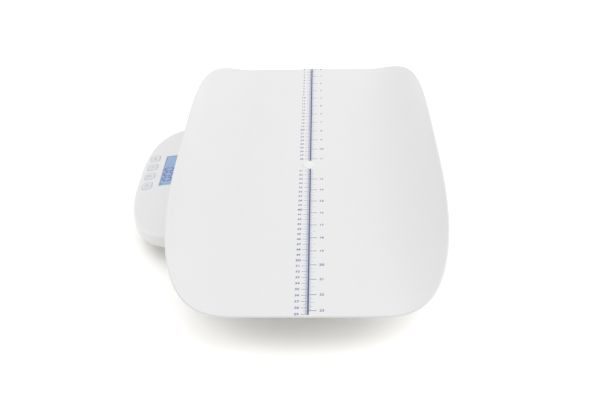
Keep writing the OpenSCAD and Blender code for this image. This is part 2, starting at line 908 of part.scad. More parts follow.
module console_upper_shell() {
    color("white")
        difference() {
            union() {
                difference() {
                    console_shape(0, console_split_z);
                    console_shape(console_wall, console_split_z - past);
                }
                intersection() {
                    union() {
                        for (p = console_screw_places)
                            translate([p[0], p[1], console_split_z])
                                cylinder(r = cover_boss_r, h = console_top_z);
                        on_panel()
                            for (p = board_screw_places)
                                translate([p[0], p[1], -board_depth])
                                    cylinder(r = board_boss_r, h = board_depth);
                    }
                    below_panel(console_wall/2);
                }
                for (y = neck_screw_ys)
                    translate([neck_x - neck_boss_l, y, neck_screw_z])
                        rotate([0, 90, 0])
                            cylinder(r = neck_boss_r, h = neck_boss_l);
            }
            on_panel() {
                translate([0, 0, -board_depth + past])
                    block(window_w, window_l, board_depth);
                for (y = key_ys)
                    translate([-key_row, y, -board_depth + past])
                        rounded(key_w + 2*key_gap, key_l + 2*key_gap, key_corner_r + key_gap,
                                board_depth);
                for (p = board_screw_places)
                    translate([p[0], p[1], -board_depth - past])
                        cylinder(r = small_r + fit, h = past + board_screw_grip + 1);
            }
            for (p = console_screw_places)
                translate([p[0], p[1], console_split_z - past])
                    cylinder(r = screw_r + fit, h = past + console_screw_grip + 1);
            for (y = neck_screw_ys)
                translate([neck_x - neck_screw_grip - 1, y, neck_screw_z])
                    rotate([0, 90, 0])
                        cylinder(r = screw_r + fit, h = neck_screw_grip + 1 + past);
            translate([neck_x - console_wall - past, lead_hole_y, neck_screw_z])
                rotate([0, 90, 0])
                    cylinder(r = lead_hole_r, h = console_wall + 2*past);
        }
}

module console_belly(inset, z) {
    hull() {
        translate([0, 0, z + console_edge])
            console_outline(inset, console_split_z - console_z - console_edge + inset);
        translate([0, 0, z])
            console_outline(inset + console_edge, sunk);
    }
}

module console_lower_shell() {
    neck_room = [2*console_reach, 2*console_reach, 2*console_top_z];
    color("white")
        difference() {
            union() {
                difference() {
                    intersection() {
                        console_belly(0, console_z);
                        translate([neck_x - neck_room[0], -console_reach, 0])
                            cube(neck_room);
                    }
                    intersection() {
                        console_belly(console_wall, console_z + console_wall);
                        translate([neck_x - console_wall - neck_room[0], -console_reach, 0])
                            cube(neck_room);
                    }
                }
                for (p = console_screw_places)
                    translate([p[0], p[1], console_z])
                        cylinder(r = pan_boss_r, h = console_split_z - console_z);
            }
            for (p = console_screw_places)
                translate([p[0], p[1], console_z - past]) {
                    cylinder(r = screw_head_r + head_room, h = past + screw_sink + screw_head_h);
                    cylinder(r = screw_r + fit, h = console_split_z);
                }
        }
}

module console_screws() {
    color("gray")
        for (p = console_screw_places)
            translate([p[0], p[1], console_z + screw_sink])
                screw(screw_r, console_split_z - console_z - screw_sink - screw_head_h
                               + console_screw_grip, screw_head_r, screw_head_h);
}

module neck_screws() {
    color("gray")
        for (y = neck_screw_ys)
            translate([neck_x + base_wall + screw_head_h, y, neck_screw_z])
                rotate([0, -90, 0])
                    screw(screw_r, base_wall + neck_screw_grip, screw_head_r, screw_head_h);
}

// ---- Display ----

module display_window() {
    color("powderblue", 0.4)
        on_panel()
            translate([0, 0, window_top - window_t])
                block(window_w - 2*slip, window_l - 2*slip, window_t);
}

module lcd_panel() {
    color("skyblue")
        on_panel()
            translate([0, 0, guide_z + fit])
                block(window_w - 2*slip, window_l - 2*slip, lcd_top - guide_z - fit);
}

module light_guide() {
    color("lightcyan")
        on_panel()
            translate([0, 0, guide_z - guide_t])
                block(guide_w, guide_l, guide_t);
}

module display_frame() {
    inner_w = guide_w + 2*slip;
    inner_l = guide_l + 2*slip;
    color("white")
        on_panel()
            difference() {
                translate([0, 0, -board_depth])
                    block(inner_w + 2*frame_wall, inner_l + 2*frame_wall, guide_z + board_depth);
                translate([0, 0, frame_floor_z])
                    block(inner_w, inner_l, board_depth);
                translate([0, 0, -board_depth - past])
                    block(inner_w, inner_l, board_depth + past + frame_floor_z - frame_wall);
                translate([guide_w/2 - tail_w, 0, -board_depth - past])
                    block(tail_w, guide_l - 2*tail_inset, board_depth);
            }
}

module circuit_board() {
    color("darkgreen")
        on_panel()
            difference() {
                translate([board_left + board_w/2, 0, board_under])
                    rounded(board_w, board_l, board_corner_r, board_t);
                for (p = board_screw_places)
                    translate([p[0], p[1], board_under - past])
                        cylinder(r = small_r + fit, h = board_t + 2*past);
            }
}

module board_screws() {
    color("silver")
        on_panel()
            for (p = board_screw_places)
                translate([p[0], p[1], board_under - small_head_h])
                    screw(small_r, board_t + board_screw_grip, small_head_r, small_head_h);
}

module board_parts() {
    color("black")
        on_panel() {
            for (c = chips)
                translate([c[0], c[1], board_under - c[4]])
                    block(c[2], c[3], c[4]);
            for (c = cans)
                translate([c[0], c[1], board_under - c[3]])
                    cylinder(r = c[2], h = c[3]);
        }
}

module board_sockets() {
    color("ivory")
        on_panel()
            for (y = socket_ys)
                translate([socket_x, y, board_under - socket[2]])
                    block(socket[0], socket[1], socket[2]);
}

module buzzer() {
    color("black")
        on_panel()
            translate([buzzer_place[0], buzzer_place[1], board_under - buzzer_h])
                difference() {
                    cylinder(r = buzzer_r, h = buzzer_h);
                    translate([0, 0, -past])
                        cylinder(r = buzzer_hole_r, h = past + buzzer_h/2);
                }
}

// ---- Keys ----

module key_mat() {
    color("lightgray")
        on_panel()
            translate([-key_row, 0, -board_depth])
                union() {
                    block(mat_w, keys_l, mat_t);
                    for (y = key_ys)
                        translate([0, y, mat_t])
                            cylinder(r1 = dome_r, r2 = dome_top_r, h = dome_h);
                }
}

// One key of the row: its cap, the flange that holds it in and the stem over its dome
module key(i) {
    flange_top = panel_under - key_flange_gap;
    flange_under = flange_top - key_flange_t;
    y = key_ys[i];
    color("white")
        on_panel()
            translate([-key_row, y, 0])
                union() {
                    translate([0, 0, flange_top])
                        rounded(key_w, key_l, key_corner_r, key_proud - crown(y) - flange_top);
                    translate([0, 0, flange_under])
                        rounded(key_w + 2*key_flange_w, key_l + 2*key_flange_w,
                                key_corner_r + key_flange_w, key_flange_t + eps);
                    translate([0, 0, dome_top_z + stem_gap])
                        block(key_stem_w, key_stem_w, flange_under - dome_top_z - stem_gap + eps);
                }
}

module key_power() { key(0); }
module key_zero() { key(1); }
module key_hold() { key(2); }
module key_unit() { key(3); }

// Moves the scale so that the origin is under the centre of its footprint
module placed() {
    translate([tray_x, 0, 0])
        children();
}

placed() tray();
placed() tray_plug();
placed() tray_screw();
placed() carrier_plate();
placed() carrier_posts();
placed() post_screws();
placed() post_pads();
placed() cell_spacer();
placed() carrier_screws();
placed() load_cell();
placed() cell_base_screws();
placed() overload_stops();
placed() base_pan();
placed() base_cover();
placed() base_screws();
placed() rubber_feet();
placed() batteries();
placed() battery_springs();
placed() battery_plates();
placed() battery_door();
placed() battery_lead();
placed() console_upper_shell();
placed() console_lower_shell();
placed() console_screws();
placed() neck_screws();
placed() display_window();
placed() lcd_panel();
placed() light_guide();
placed() display_frame();
placed() circuit_board();
placed() board_screws();
placed() board_parts();
placed() board_sockets();
placed() buzzer();
placed() key_mat();
placed() load_cell_lead();
placed() key_power();
placed() key_zero();
placed() key_hold();
placed() key_unit();
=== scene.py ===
# %% [markdown]
# # Digital baby weighing scale
#
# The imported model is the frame: a trough-shaped tray on a load cell base, with a display
# console on its left. Everything below is built in metres around that frame, so a piece
# goes where the frame says and no fitting is needed.

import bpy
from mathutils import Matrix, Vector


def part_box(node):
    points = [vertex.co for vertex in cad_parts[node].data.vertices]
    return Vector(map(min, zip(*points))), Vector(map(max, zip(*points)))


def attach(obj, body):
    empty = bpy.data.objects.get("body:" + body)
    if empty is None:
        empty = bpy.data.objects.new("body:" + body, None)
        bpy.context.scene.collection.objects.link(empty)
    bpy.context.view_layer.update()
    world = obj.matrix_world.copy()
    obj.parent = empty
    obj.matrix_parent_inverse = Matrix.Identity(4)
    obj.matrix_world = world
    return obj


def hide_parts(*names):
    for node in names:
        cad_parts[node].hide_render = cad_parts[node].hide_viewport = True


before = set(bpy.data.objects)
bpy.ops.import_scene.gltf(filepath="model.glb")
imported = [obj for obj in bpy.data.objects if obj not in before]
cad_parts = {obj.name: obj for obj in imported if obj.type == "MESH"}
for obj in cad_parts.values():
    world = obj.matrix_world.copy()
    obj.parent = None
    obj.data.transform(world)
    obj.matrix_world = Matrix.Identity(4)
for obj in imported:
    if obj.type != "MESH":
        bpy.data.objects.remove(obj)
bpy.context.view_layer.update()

import math

import bmesh
import bpy
from mathutils import Matrix, Vector

MM = 0.001

# %% [markdown]
# ## Camera
# The scale was photographed from about 37 degrees above, with a lens a little longer than
# normal. The camera is written as a place, a direction and a slight roll, because those
# three can each be read off the tray: its rims give the height, its ruler gives the
# heading and the roll.

# %% Camera at the photograph's angle
CAMERA_AT = Vector((0.052990, -0.885900, 0.653600))
CAMERA_DOWN = 0.6382
CAMERA_HEADING = -0.0377
CAMERA_ROLL = -0.0285
CAMERA_LENS = 45.16


def camera_axes():
    """Right, up and backward directions of the camera."""
    level = math.cos(CAMERA_DOWN)
    ahead = Vector((math.sin(CAMERA_HEADING) * level, math.cos(CAMERA_HEADING) * level,
                    -math.sin(CAMERA_DOWN)))
    right = Vector((math.cos(CAMERA_HEADING), -math.sin(CAMERA_HEADING), 0))
    roll = Matrix.Rotation(CAMERA_ROLL, 3, -ahead)
    right = roll @ right
    return right, right.cross(ahead), -ahead


camera = bpy.data.objects.new("camera", bpy.data.cameras.new("camera"))
bpy.context.collection.objects.link(camera)
bpy.context.scene.camera = camera
camera.data.sensor_width = 36
camera.data.lens = CAMERA_LENS
camera.data.clip_start = 0.05
camera.matrix_world = Matrix.Translation(CAMERA_AT) @ Matrix(camera_axes()).transposed().to_4x4()
print("camera height", round(CAMERA_AT.z, 3), "m, lens", CAMERA_LENS, "mm")

# %% [markdown]
# ## Materials
# The scale is almost all white ABS, which is injection moulded against polished or finely
# eroded steel. Its pieces differ by little: the grain of the mould, the gloss and a slight
# shift of the white, which in the shell's lighter white is painted light. Every material is
# made of nodes on Object coordinates, so it stays put when the part is posed. One function
# adds a node, sets it and links it.

# %% Node helpers
MATH = "ShaderNodeMath"
MIX = "ShaderNodeMix"
NOISE = "ShaderNodeTexNoise"
SPAN = "ShaderNodeMapRange"
COLOURS = {"data_type": "RGBA"}


def srgb(code):
    """Linear colour of an sRGB hex value such as "E8EAEA"."""
    parts = [int(code[i:i + 2], 16) / 255 for i in (0, 2, 4)]
    linear = [c / 12.92 if c <= 0.04045 else ((c + 0.055) / 1.055) ** 2.4 for c in parts]
    return (*linear, 1)


def add(tree, kind, settings=None, *values, **inputs):
    """Adds a node. Settings are its attributes, or its operation alone. Values fill the inputs
    in order or by name, and a node or an output that is given as a value is linked."""
    node = tree.nodes.new(kind)
    if isinstance(settings, str):
        settings = {"operation": settings}
    for name, value in (settings or {}).items():
        setattr(node, name, value)
    for name, value in [*enumerate(values), *inputs.items()]:
        if isinstance(name, str):
            name = int(name[1:]) if name[1:].isdigit() else name.replace("_", " ")
        if isinstance(value, bpy.types.Node):
            value = value.outputs[0]
        if isinstance(value, bpy.types.NodeSocket):
            tree.links.new(value, node.inputs[name])
        else:
            node.inputs[name].default_value = value
    return node


def new_material(name):
    """A node material, its tree, its linked Principled shader and its Object coordinates."""
    material = bpy.data.materials.new(name)
    material.use_nodes = True
    tree = material.node_tree
    tree.nodes.clear()
    shader = add(tree, "ShaderNodeBsdfPrincipled")
    add(tree, "ShaderNodeOutputMaterial", Surface=shader)
    return material, tree, shader, add(tree, "ShaderNodeTexCoord").outputs["Object"]


def set_shader(shader, **values):
    for name, value in values.items():
        shader.inputs[name.replace("_", " ")].default_value = value


def per_metre(size_mm):
    """Scale of a texture whose features are size_mm across."""
    return 1 / (size_mm * MM)


# %% Plastics


def moulded(name, colour, shade, roughness, grain_mm, grain_depth_mm, cloud_mm=60.0):
    """Injection moulded plastic: an even colour that drifts a little over the piece, a
    roughness that follows the flow of the melt, and the fine grain of the mould."""
    material, tree, shader, point = new_material(name)
    flow = add(tree, NOISE, Vector=point, Scale=per_metre(cloud_mm), Detail=2.0)
    tint = add(tree, MIX, COLOURS, Factor=flow.outputs["Fac"], _6=srgb(colour), _7=srgb(shade))
    gloss = add(tree, SPAN, Value=flow.outputs["Fac"], To_Min=roughness - 0.03,
                To_Max=roughness + 0.04)
    grain = add(tree, NOISE, Vector=point, Scale=per_metre(grain_mm), Detail=1.0)
    bump = add(tree, "ShaderNodeBump", Height=grain.outputs["Fac"], Strength=1.0,
               Distance=grain_depth_mm * MM)
    tree.links.new(tint.outputs[2], shader.inputs["Base Color"])
    tree.links.new(gloss.outputs[0], shader.inputs["Roughness"])
    tree.links.new(bump.outputs[0], shader.inputs["Normal"])
    set_shader(shader, IOR=1.54)
    return material


# Polished ABS: white, with a clear but soft sheen and hardly any grain
TRAY_ABS = moulded("polished_white_abs", "EEEEEE", "ECECEC", 0.30, 5.0, 0.004)
# Satin ABS of the console and the cover: a lighter white than the tray's, with the fine grain
# of its mould. The lift in white is painted light, which makes up for the shade that the tray
# throws on the console.
SHELL_ABS_PAINTED_LIGHT = moulded("satin_white_abs", "F4F4F4", "F2F2F2", 0.30, 0.8, 0.006)
# Textured ABS of the underside: a shade greyer, matt from a coarser mould
BASE_ABS = moulded("textured_white_abs", "E3E5E6", "DFE1E2", 0.52, 0.9, 0.02)
# Key caps: satin ABS, slightly cooler and darker than the shell round them
KEY_ABS = moulded("satin_key_abs", "EAEBED", "E8E9EB", 0.36, 0.7, 0.005)
# Sockets and frames inside: natural nylon, ivory and waxy
NYLON = moulded("natural_nylon", "EFEBDD", "EAE5D3", 0.42, 0.8, 0.008)
# Feet: moulded rubber, dark, matt, with a fine bloom
RUBBER = moulded("black_rubber", "2C2C2E", "343436", 0.75, 0.6, 0.03, 12.0)
# Key mat: silicone rubber, translucent grey and softly matt
SILICONE = moulded("grey_silicone", "C9CBCD", "C2C4C7", 0.55, 0.7, 0.01)
# Component bodies: moulded epoxy, near black with a faint speckle
EPOXY = moulded("black_epoxy", "1B1B1C", "232324", 0.48, 0.3, 0.01, 2.0)
# Lead jackets: soft PVC, smooth with a slight sheen
GREY_PVC = moulded("grey_pvc", "5A5D61", "55585C", 0.4, 1.2, 0.01, 20.0)
RED_PVC = moulded("red_pvc", "9E2B27", "952723", 0.4, 1.2, 0.01, 20.0)
print("plastics:", len(bpy.data.materials))

# %% [markdown]
# Metals keep the default IOR and take their look from colour and roughness. Rolled
# aluminium has fine lines along the rolling direction, made by a noise that is stretched
# along it. Zinc-plated screws are softer, with a faint mottle from the plating bath.

# %% Metals, board and printed finishes


def metal(name, colour, roughness, grain_mm, stretch=(1, 1, 1), relief_mm=0.002):
    """Bare or plated metal with fine lines or mottle of the given size."""
    material, tree, shader, point = new_material(name)
    rolled = add(tree, "ShaderNodeMapping", Vector=point, Scale=stretch)
    lines = add(tree, NOISE, Vector=rolled, Scale=per_metre(grain_mm), Detail=3.0)
    gloss = add(tree, SPAN, Value=lines.outputs["Fac"], To_Min=roughness - 0.08,
                To_Max=roughness + 0.1)
    bump = add(tree, "ShaderNodeBump", Height=lines.outputs["Fac"], Distance=relief_mm * MM)
    tree.links.new(gloss.outputs[0], shader.inputs["Roughness"])
    tree.links.new(bump.outputs[0], shader.inputs["Normal"])
    set_shader(shader, Base_Color=srgb(colour), Metallic=1.0)
    return material


# Rolled aluminium sheet: pale grey, with fine lines along its length
ALUMINIUM = metal("rolled_aluminium", "C9CCCF", 0.38, 0.6, (1, 0.03, 1))
# Machined aluminium of the load cell: brighter, lines across
MACHINED = metal("machined_aluminium", "D3D6DA", 0.3, 0.4, (0.05, 1, 1))
# Zinc-plated steel screws: bluish grey with a soft mottle
ZINC_STEEL = metal("zinc_plated_steel", "B9BDC2", 0.33, 0.5)
# Nickel-plated spring steel contacts: bright and slightly warm
NICKEL = metal("nickel_plated_spring", "C8C5BC", 0.22, 0.4)


def ink(name, colour, roughness=0.4, glow=0.0):
    """Pad-printed ink: flat and opaque, with tiny pinholes that let the white show."""
    material, tree, shader, point = new_material(name)
    pores = add(tree, NOISE, Vector=point, Scale=per_metre(0.25), Detail=2.0)
    thin = add(tree, SPAN, Value=pores.outputs["Fac"], From_Min=0.62,
               From_Max=0.75, To_Max=0.25)
    tint = add(tree, MIX, COLOURS, Factor=thin, _6=srgb(colour), _7=srgb("DDE0EA"))
    tree.links.new(tint.outputs[2], shader.inputs["Base Color"])
    set_shader(shader, Roughness=roughness, IOR=1.5, Emission_Color=srgb(colour),
               Emission_Strength=glow)
    return material


# Ruler ink of the main line: navy, printed solid
NAVY_INK = ink("navy_pad_print", "4E5A86")
# Ruler ink of the marks and numbers: printed thinner, so it is paler and a clearer blue
MARK_INK = ink("blue_pad_print", "4A649C")
# Ink of the key signs: a pale lavender grey that reads only close by
GREY_INK = ink("grey_pad_print", "A9ADBE")
# Ink of the frames round the keys: paler still, hardly more than a shade of the white
PALE_INK = ink("pale_pad_print", "D6D9E3")


def speckled(name, colour, other, size_mm, roughness, **values):
    """A surface with small patches of a second colour, such as glass cloth under lacquer."""
    material, tree, shader, point = new_material(name)
    cells = add(tree, "ShaderNodeTexVoronoi", Vector=point, Scale=per_metre(size_mm))
    tint = add(tree, MIX, COLOURS, Factor=cells.outputs["Distance"], _6=srgb(colour),
               _7=srgb(other))
    tree.links.new(tint.outputs[2], shader.inputs["Base Color"])
    set_shader(shader, Roughness=roughness, **values)
    return material


# Circuit board: green lacquer over woven glass
FIBREGLASS = speckled("green_fibreglass", "1E5A37", "2A6E46", 0.8, 0.35, IOR=1.5)
# Battery jackets: printed foil in one plain colour
BATTERY_FOIL = speckled("battery_foil", "B08D3E", "9A7A33", 4.0, 0.32, Metallic=0.6)
# Light guide: cast acrylic with a milky scatter, so that the lamp spreads evenly
GUIDE_ACRYLIC = speckled("milky_acrylic", "E4EEF7", "D6E4F2", 1.5, 0.3, IOR=1.49)
print("materials:", len(bpy.data.materials))

# %% [markdown]
# ## Helpers for meshes
# Solids that follow a formula are lofted: rings of points in a fixed order, joined ring to
# ring by quads. Lofting keeps the faces even, which matters on a glossy white shell where
# every kink shows as a break in the shading.

# %% Mesh helpers


def make_object(name, mesh, *materials):
    piece = bpy.data.objects.new(name, mesh)
    bpy.context.collection.objects.link(piece)
    for material in materials:
        mesh.materials.append(material)
    return piece


def loft(bm, rings, closed=False):
    """Joins rings by quads. Closed joins the last ring to the first, else both ends are capped."""
    rows = [[bm.verts.new(p) for p in ring] for ring in rings]
    pairs = list(zip(rows, rows[1:]))
    if closed:
        pairs.append((rows[-1], rows[0]))
    for lower, upper in pairs:
        for i in range(len(lower)):
            j = (i + 1) % len(lower)
            bm.faces.new((lower[i], lower[j], upper[j], upper[i]))
    if not closed:
        bm.faces.new(rows[0][::-1])
        bm.faces.new(rows[-1])


def finish_mesh(bm, name, smooth_angle=35.0):
    """Turns a bmesh into a mesh with outward normals, smooth below the given angle."""
    bmesh.ops.remove_doubles(bm, verts=bm.verts, dist=1e-7)
    bmesh.ops.recalc_face_normals(bm, faces=bm.faces)
    mesh = bpy.data.meshes.new(name)
    bm.to_mesh(mesh)
    bm.free()
    mesh.shade_smooth()
    mesh.set_sharp_from_angle(angle=math.radians(smooth_angle))
    return mesh


def rounded_outline(width, length, radius, steps=8):
    """Corner points of a rounded rectangle round the origin, anticlockwise."""
    points = []
    for turn, (sx, sy) in enumerate(((1, 1), (-1, 1), (-1, -1), (1, -1))):
        centre = Vector((sx * (width / 2 - radius), sy * (length / 2 - radius)))
        for i in range(steps + 1):
            angle = math.pi / 2 * (turn + i / steps)
            points.append(centre + Vector((math.cos(angle), math.sin(angle))) * radius)
    return points


def offset_ring(outline, inset, height_of):
    """The outline moved inwards, at heights given by a function of x and y or a number."""
    ring = []
    for i, point in enumerate(outline):
        ahead = outline[(i + 1) % len(outline)] - outline[i - 1]
        spot = point + Vector((-ahead.y, ahead.x)).normalized() * inset
        height = height_of(spot.x, spot.y) if callable(height_of) else height_of
        ring.append((spot.x, spot.y, height))
    return ring


def quarter(radius, steps):
    """Pairs of inset and drop that round an edge, from the wall inwards."""
    turns = [math.pi / 2 * i / steps for i in range(steps + 1)]
    return [(radius * (1 - math.cos(turn)), radius * (1 - math.sin(turn))) for turn in turns]


def box_into(bm, low, high):
    """Adds a closed box between two corners."""
    centre = (Vector(low) + Vector(high)) / 2
    size = Vector(high) - Vector(low)
    place = Matrix.Translation(centre) @ Matrix.Diagonal((*size, 1))
    bmesh.ops.create_cube(bm, size=1, matrix=place)


def plain(piece):
    """Turns what the modifiers of a piece make into its own mesh, and removes them."""
    graph = bpy.context.evaluated_depsgraph_get()
    mesh = bpy.data.meshes.new_from_object(piece.evaluated_get(graph), depsgraph=graph)
    piece.modifiers.clear()
    piece.data = mesh


def modified(piece, kind, **values):
    """Runs one modifier on a piece and leaves a plain mesh."""
    modifier = piece.modifiers.new(kind.lower(), kind)
    for name, value in values.items():
        setattr(modifier, name, value)
    plain(piece)


def triangles(piece):
    piece.data.calc_loop_triangles()
    return len(piece.data.loop_triangles)


# %% [markdown]
# ## Tray
# The tray is one injection moulding: a flat middle 188 mm wide, and two sides that sweep
# up on a round bend. Its outline from above is a rounded rectangle with straight flanks
# and fuller ends, which a superellipse gives with one power for each direction.
#
# It could be modelled as a bent surface at once. It is simpler to lay the tray out flat,
# as one loft from the pocket in the middle to the rounded lip and back underneath, and
# let Geometry Nodes bend its sides: each point that lies beyond the flat middle is rolled
# round the bend by the distance that it lies beyond it, so the wall keeps its thickness
# and the lip stays square to it.

# %% Sizes of the tray
tray_low, tray_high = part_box("tray")
TRAY_X = (tray_low[0] + tray_high[0]) / 2
TRAY_HALF = Vector(((tray_high[0] - tray_low[0]) / 2, (tray_high[1] - tray_low[1]) / 2))
TRAY_POWERS = (7.6, 3.6)
TRAY_FLAT = 94 * MM
TRAY_BEND = 84 * MM
TRAY_WALL = 3 * MM
TRAY_TOP = 58 * MM
LIP_ROUND = 1.1 * MM
POCKET_R = 8.75 * MM
POCKET_DEPTH = 6.5 * MM
POCKET_FLARE = 0.4 * MM
SCREW_HOLE_R = 3.05 * MM
BOSS_R = 12.5 * MM
BOSS_DEPTH = 9 * MM
BOSS_EDGE = 0.5 * MM
TRAY_POINTS = 320
SHEET_RINGS = 26
RING_SPREAD = 0.9


def superellipse(half_x, half_y, power_x, power_y, count, samples=2880):
    """Points at even spacing round |x/half_x|^power_x + |y/half_y|^power_y = 1."""
    fine = []
    for i in range(samples):
        turn = 2 * math.pi * i / samples
        c, s = math.cos(turn), math.sin(turn)
        fine.append(Vector((math.copysign(half_x * abs(c) ** (2 / power_x), c),
                            math.copysign(half_y * abs(s) ** (2 / power_y), s))))
    along = [0.0]
    for i in range(samples):
        along.append(along[-1] + (fine[(i + 1) % samples] - fine[i]).length)
    points = []
    j = 0
    for i in range(count):
        goal = along[-1] * i / count
        while along[j + 1] < goal:
            j += 1
        part = (goal - along[j]) / max(along[j + 1] - along[j], 1e-12)
        points.append(fine[j].lerp(fine[(j + 1) % samples], part))
    return points


def unrolled(x):
    """How far across the flat sheet lies a point of the outer surface at width x."""
    beyond = max(abs(x) - TRAY_FLAT, 0)
    turn = math.asin(beyond / (TRAY_BEND + TRAY_WALL))
    return math.copysign(min(abs(x), TRAY_FLAT) + TRAY_BEND * turn, x)


print("tray half size", [round(v * 1000) for v in TRAY_HALF], "mm")

# %% Bending by Geometry Nodes


def new_geometry_tree(name, inputs):
    """A Geometry Nodes tree with named inputs, its group input and its group output."""
    tree = bpy.data.node_groups.new(name, "GeometryNodeTree")
    for label, kind in [("Geometry", "NodeSocketGeometry"), *inputs]:
        tree.interface.new_socket(label, in_out="INPUT", socket_type=kind)
    tree.interface.new_socket("Geometry", in_out="OUTPUT", socket_type="NodeSocketGeometry")
    return tree, tree.nodes.new("NodeGroupInput").outputs, tree.nodes.new("NodeGroupOutput")


def close_tree(tree, given, out, shape):
    """Ends a tree: real geometry in the given material, linked to the group output."""
    whole = add(tree, "GeometryNodeRealizeInstances", Geometry=shape)
    painted = add(tree, "GeometryNodeSetMaterial", Geometry=whole, Material=given["Material"])
    tree.links.new(painted.outputs[0], out.inputs[0])
    return tree


def bend_tree():
    tree, given, out = new_geometry_tree("bend_tray_sides", [
        ("Flat half width", "NodeSocketFloat"), ("Bend radius", "NodeSocketFloat"),
        ("Material", "NodeSocketMaterial")])
    flat, radius = given["Flat half width"], given["Bend radius"]
    point = add(tree, "GeometryNodeInputPosition")
    x, y, z = add(tree, "ShaderNodeSeparateXYZ", Vector=point).outputs
    width = add(tree, MATH, "ABSOLUTE", x)
    beyond = add(tree, MATH, "MAXIMUM", add(tree, MATH, "SUBTRACT", width, flat), 0.0)
    turn = add(tree, MATH, "DIVIDE", beyond, radius)
    arm = add(tree, MATH, "SUBTRACT", radius, z)
    swing = add(tree, MATH, "MULTIPLY", arm, add(tree, MATH, "SINE", turn))
    drop = add(tree, MATH, "MULTIPLY", arm, add(tree, MATH, "COSINE", turn))
    reach = add(tree, MATH, "ADD", add(tree, MATH, "MINIMUM", width, flat), swing)
    painted_shade_gain = add(tree, MATH, "SUBTRACT", radius, drop)
    across = add(tree, MATH, "MULTIPLY", add(tree, MATH, "SIGN", x), reach)
    bent = add(tree, "ShaderNodeCombineXYZ", X=across, Y=y, Z=painted_shade_gain)
    moved = add(tree, "GeometryNodeSetPosition", Geometry=given["Geometry"], Position=bent)
    return close_tree(tree, given, out, moved)


def run_nodes(piece, tree, **values):
    """Runs a Geometry Nodes tree on a piece and leaves a plain mesh."""
    modifier = piece.modifiers.new(tree.name, "NODES")
    modifier.node_group = tree
    for item in tree.interface.items_tree:
        if item.in_out == "INPUT" and item.name.replace(" ", "_") in values:
            modifier[item.identifier] = values[item.name.replace(" ", "_")]
    plain(piece)


BEND = bend_tree()
print("tree", BEND.name, "has", len(BEND.nodes), "nodes")

# %% Tray sheet


def circle_ring(directions, radius, height):
    return [(d.x * radius, d.y * radius, height) for d in directions]


def blended(start, end, part):
    return [Vector(a).lerp(Vector(b), part) for a, b in zip(start, end)]


def tray_rings():
    """Rings from the screw hole over the top, round the lip and back under the tray."""
    outline = [Vector((unrolled(p.x), p.y)) for p in
               superellipse(*TRAY_HALF, *TRAY_POWERS, TRAY_POINTS)]
    directions = [p.normalized() for p in outline]
    lip = [offset_ring(outline, inset, -drop) for drop, inset in quarter(LIP_ROUND, 6)]
    under_lip = [[(x, y, -TRAY_WALL - z) for x, y, z in ring] for ring in reversed(lip)]
    spread = [(i / SHEET_RINGS) ** RING_SPREAD for i in range(1, SHEET_RINGS)]
    mouth = circle_ring(directions, POCKET_R + POCKET_FLARE, 0)
    foot = circle_ring(directions, BOSS_R, -TRAY_WALL)
    rings = [circle_ring(directions, SCREW_HOLE_R, -BOSS_DEPTH),
             circle_ring(directions, SCREW_HOLE_R, -POCKET_DEPTH),
             circle_ring(directions, POCKET_R, -POCKET_DEPTH),
             circle_ring(directions, POCKET_R, -POCKET_FLARE), mouth]
    rings += [blended(mouth, lip[0], part) for part in spread]
    rings += lip + under_lip
    rings += [blended(foot, under_lip[-1], part) for part in reversed(spread)]
    rings += [foot, circle_ring(directions, BOSS_R, -BOSS_DEPTH + BOSS_EDGE),
              circle_ring(directions, BOSS_R - BOSS_EDGE, -BOSS_DEPTH)]
    return rings


RIB_HALF = 1 * MM
RIB_DEPTH = 7 * MM
RIB_X = 60 * MM
RIB_LENGTH = 440 * MM


def tray_ribs(bm):
    """Two long ribs and four cross ribs that stiffen the flat middle underneath."""
    top = -TRAY_WALL / 2
    half = RIB_LENGTH / 2
    for side in (-1, 1):
        x = side * RIB_X
        box_into(bm, (x - RIB_HALF, -half, -RIB_DEPTH), (x + RIB_HALF, half, top))
    for part in (-3, -1, 1, 3):
        y = part * RIB_LENGTH / 8
        box_into(bm, (-RIB_X, y - RIB_HALF, -RIB_DEPTH), (RIB_X, y + RIB_HALF, top))


def build_tray():
    bm = bmesh.new()
    loft(bm, tray_rings(), closed=True)
    tray_ribs(bm)
    tray = make_object("tray_shell", finish_mesh(bm, "tray_shell", 40))
    run_nodes(tray, BEND, Flat_half_width=TRAY_FLAT, Bend_radius=TRAY_BEND, Material=TRAY_ABS)
    tray.data.transform(Matrix.Translation((TRAY_X, 0, TRAY_TOP)))
    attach(tray, "weighing_tray")
    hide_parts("tray")
    return tray


tray = build_tray()
print("tray:", triangles(tray), "triangles, height",
      round(max(v.co.z for v in tray.data.vertices) * 1000, 1), "mm")

# %% [markdown]
# ## Plug
# A round cap hides the screw that holds the tray down. It is turned in shape: a low dome
# with a small rounded edge, on a skirt that fits the pocket. A turned shape is a loft of
# circles, so the same function makes it, with a cap at both ends.

# %% Turned shapes
TURN_POINTS = 96


def circle(radius, height, centre=(0, 0), count=TURN_POINTS):
    return [(centre[0] + radius * math.cos(2 * math.pi * i / count),
             centre[1] + radius * math.sin(2 * math.pi * i / count), height) for i in range(count)]


def turned(bm, profile, centre=(0, 0), count=TURN_POINTS):
    """A closed solid of revolution from (radius, height) pairs, bottom to top."""
    loft(bm, [circle(r, z, centre, count) for r, z in profile])


def arc_profile(centre, radius, start, end, steps):
    """Pairs on an arc between two angles in degrees, 0 along +radius and 90 upwards."""
    angles = [math.radians(start + (end - start) * i / steps) for i in range(steps + 1)]
    return [(centre[0] + radius * math.cos(a), centre[1] + radius * math.sin(a)) for a in angles]


# %% Tray plug
PLUG_R = 8.7 * MM
PLUG_RISE = 1.6 * MM
PLUG_EDGE = 0.3 * MM
PLUG_FOOT = -3 * MM


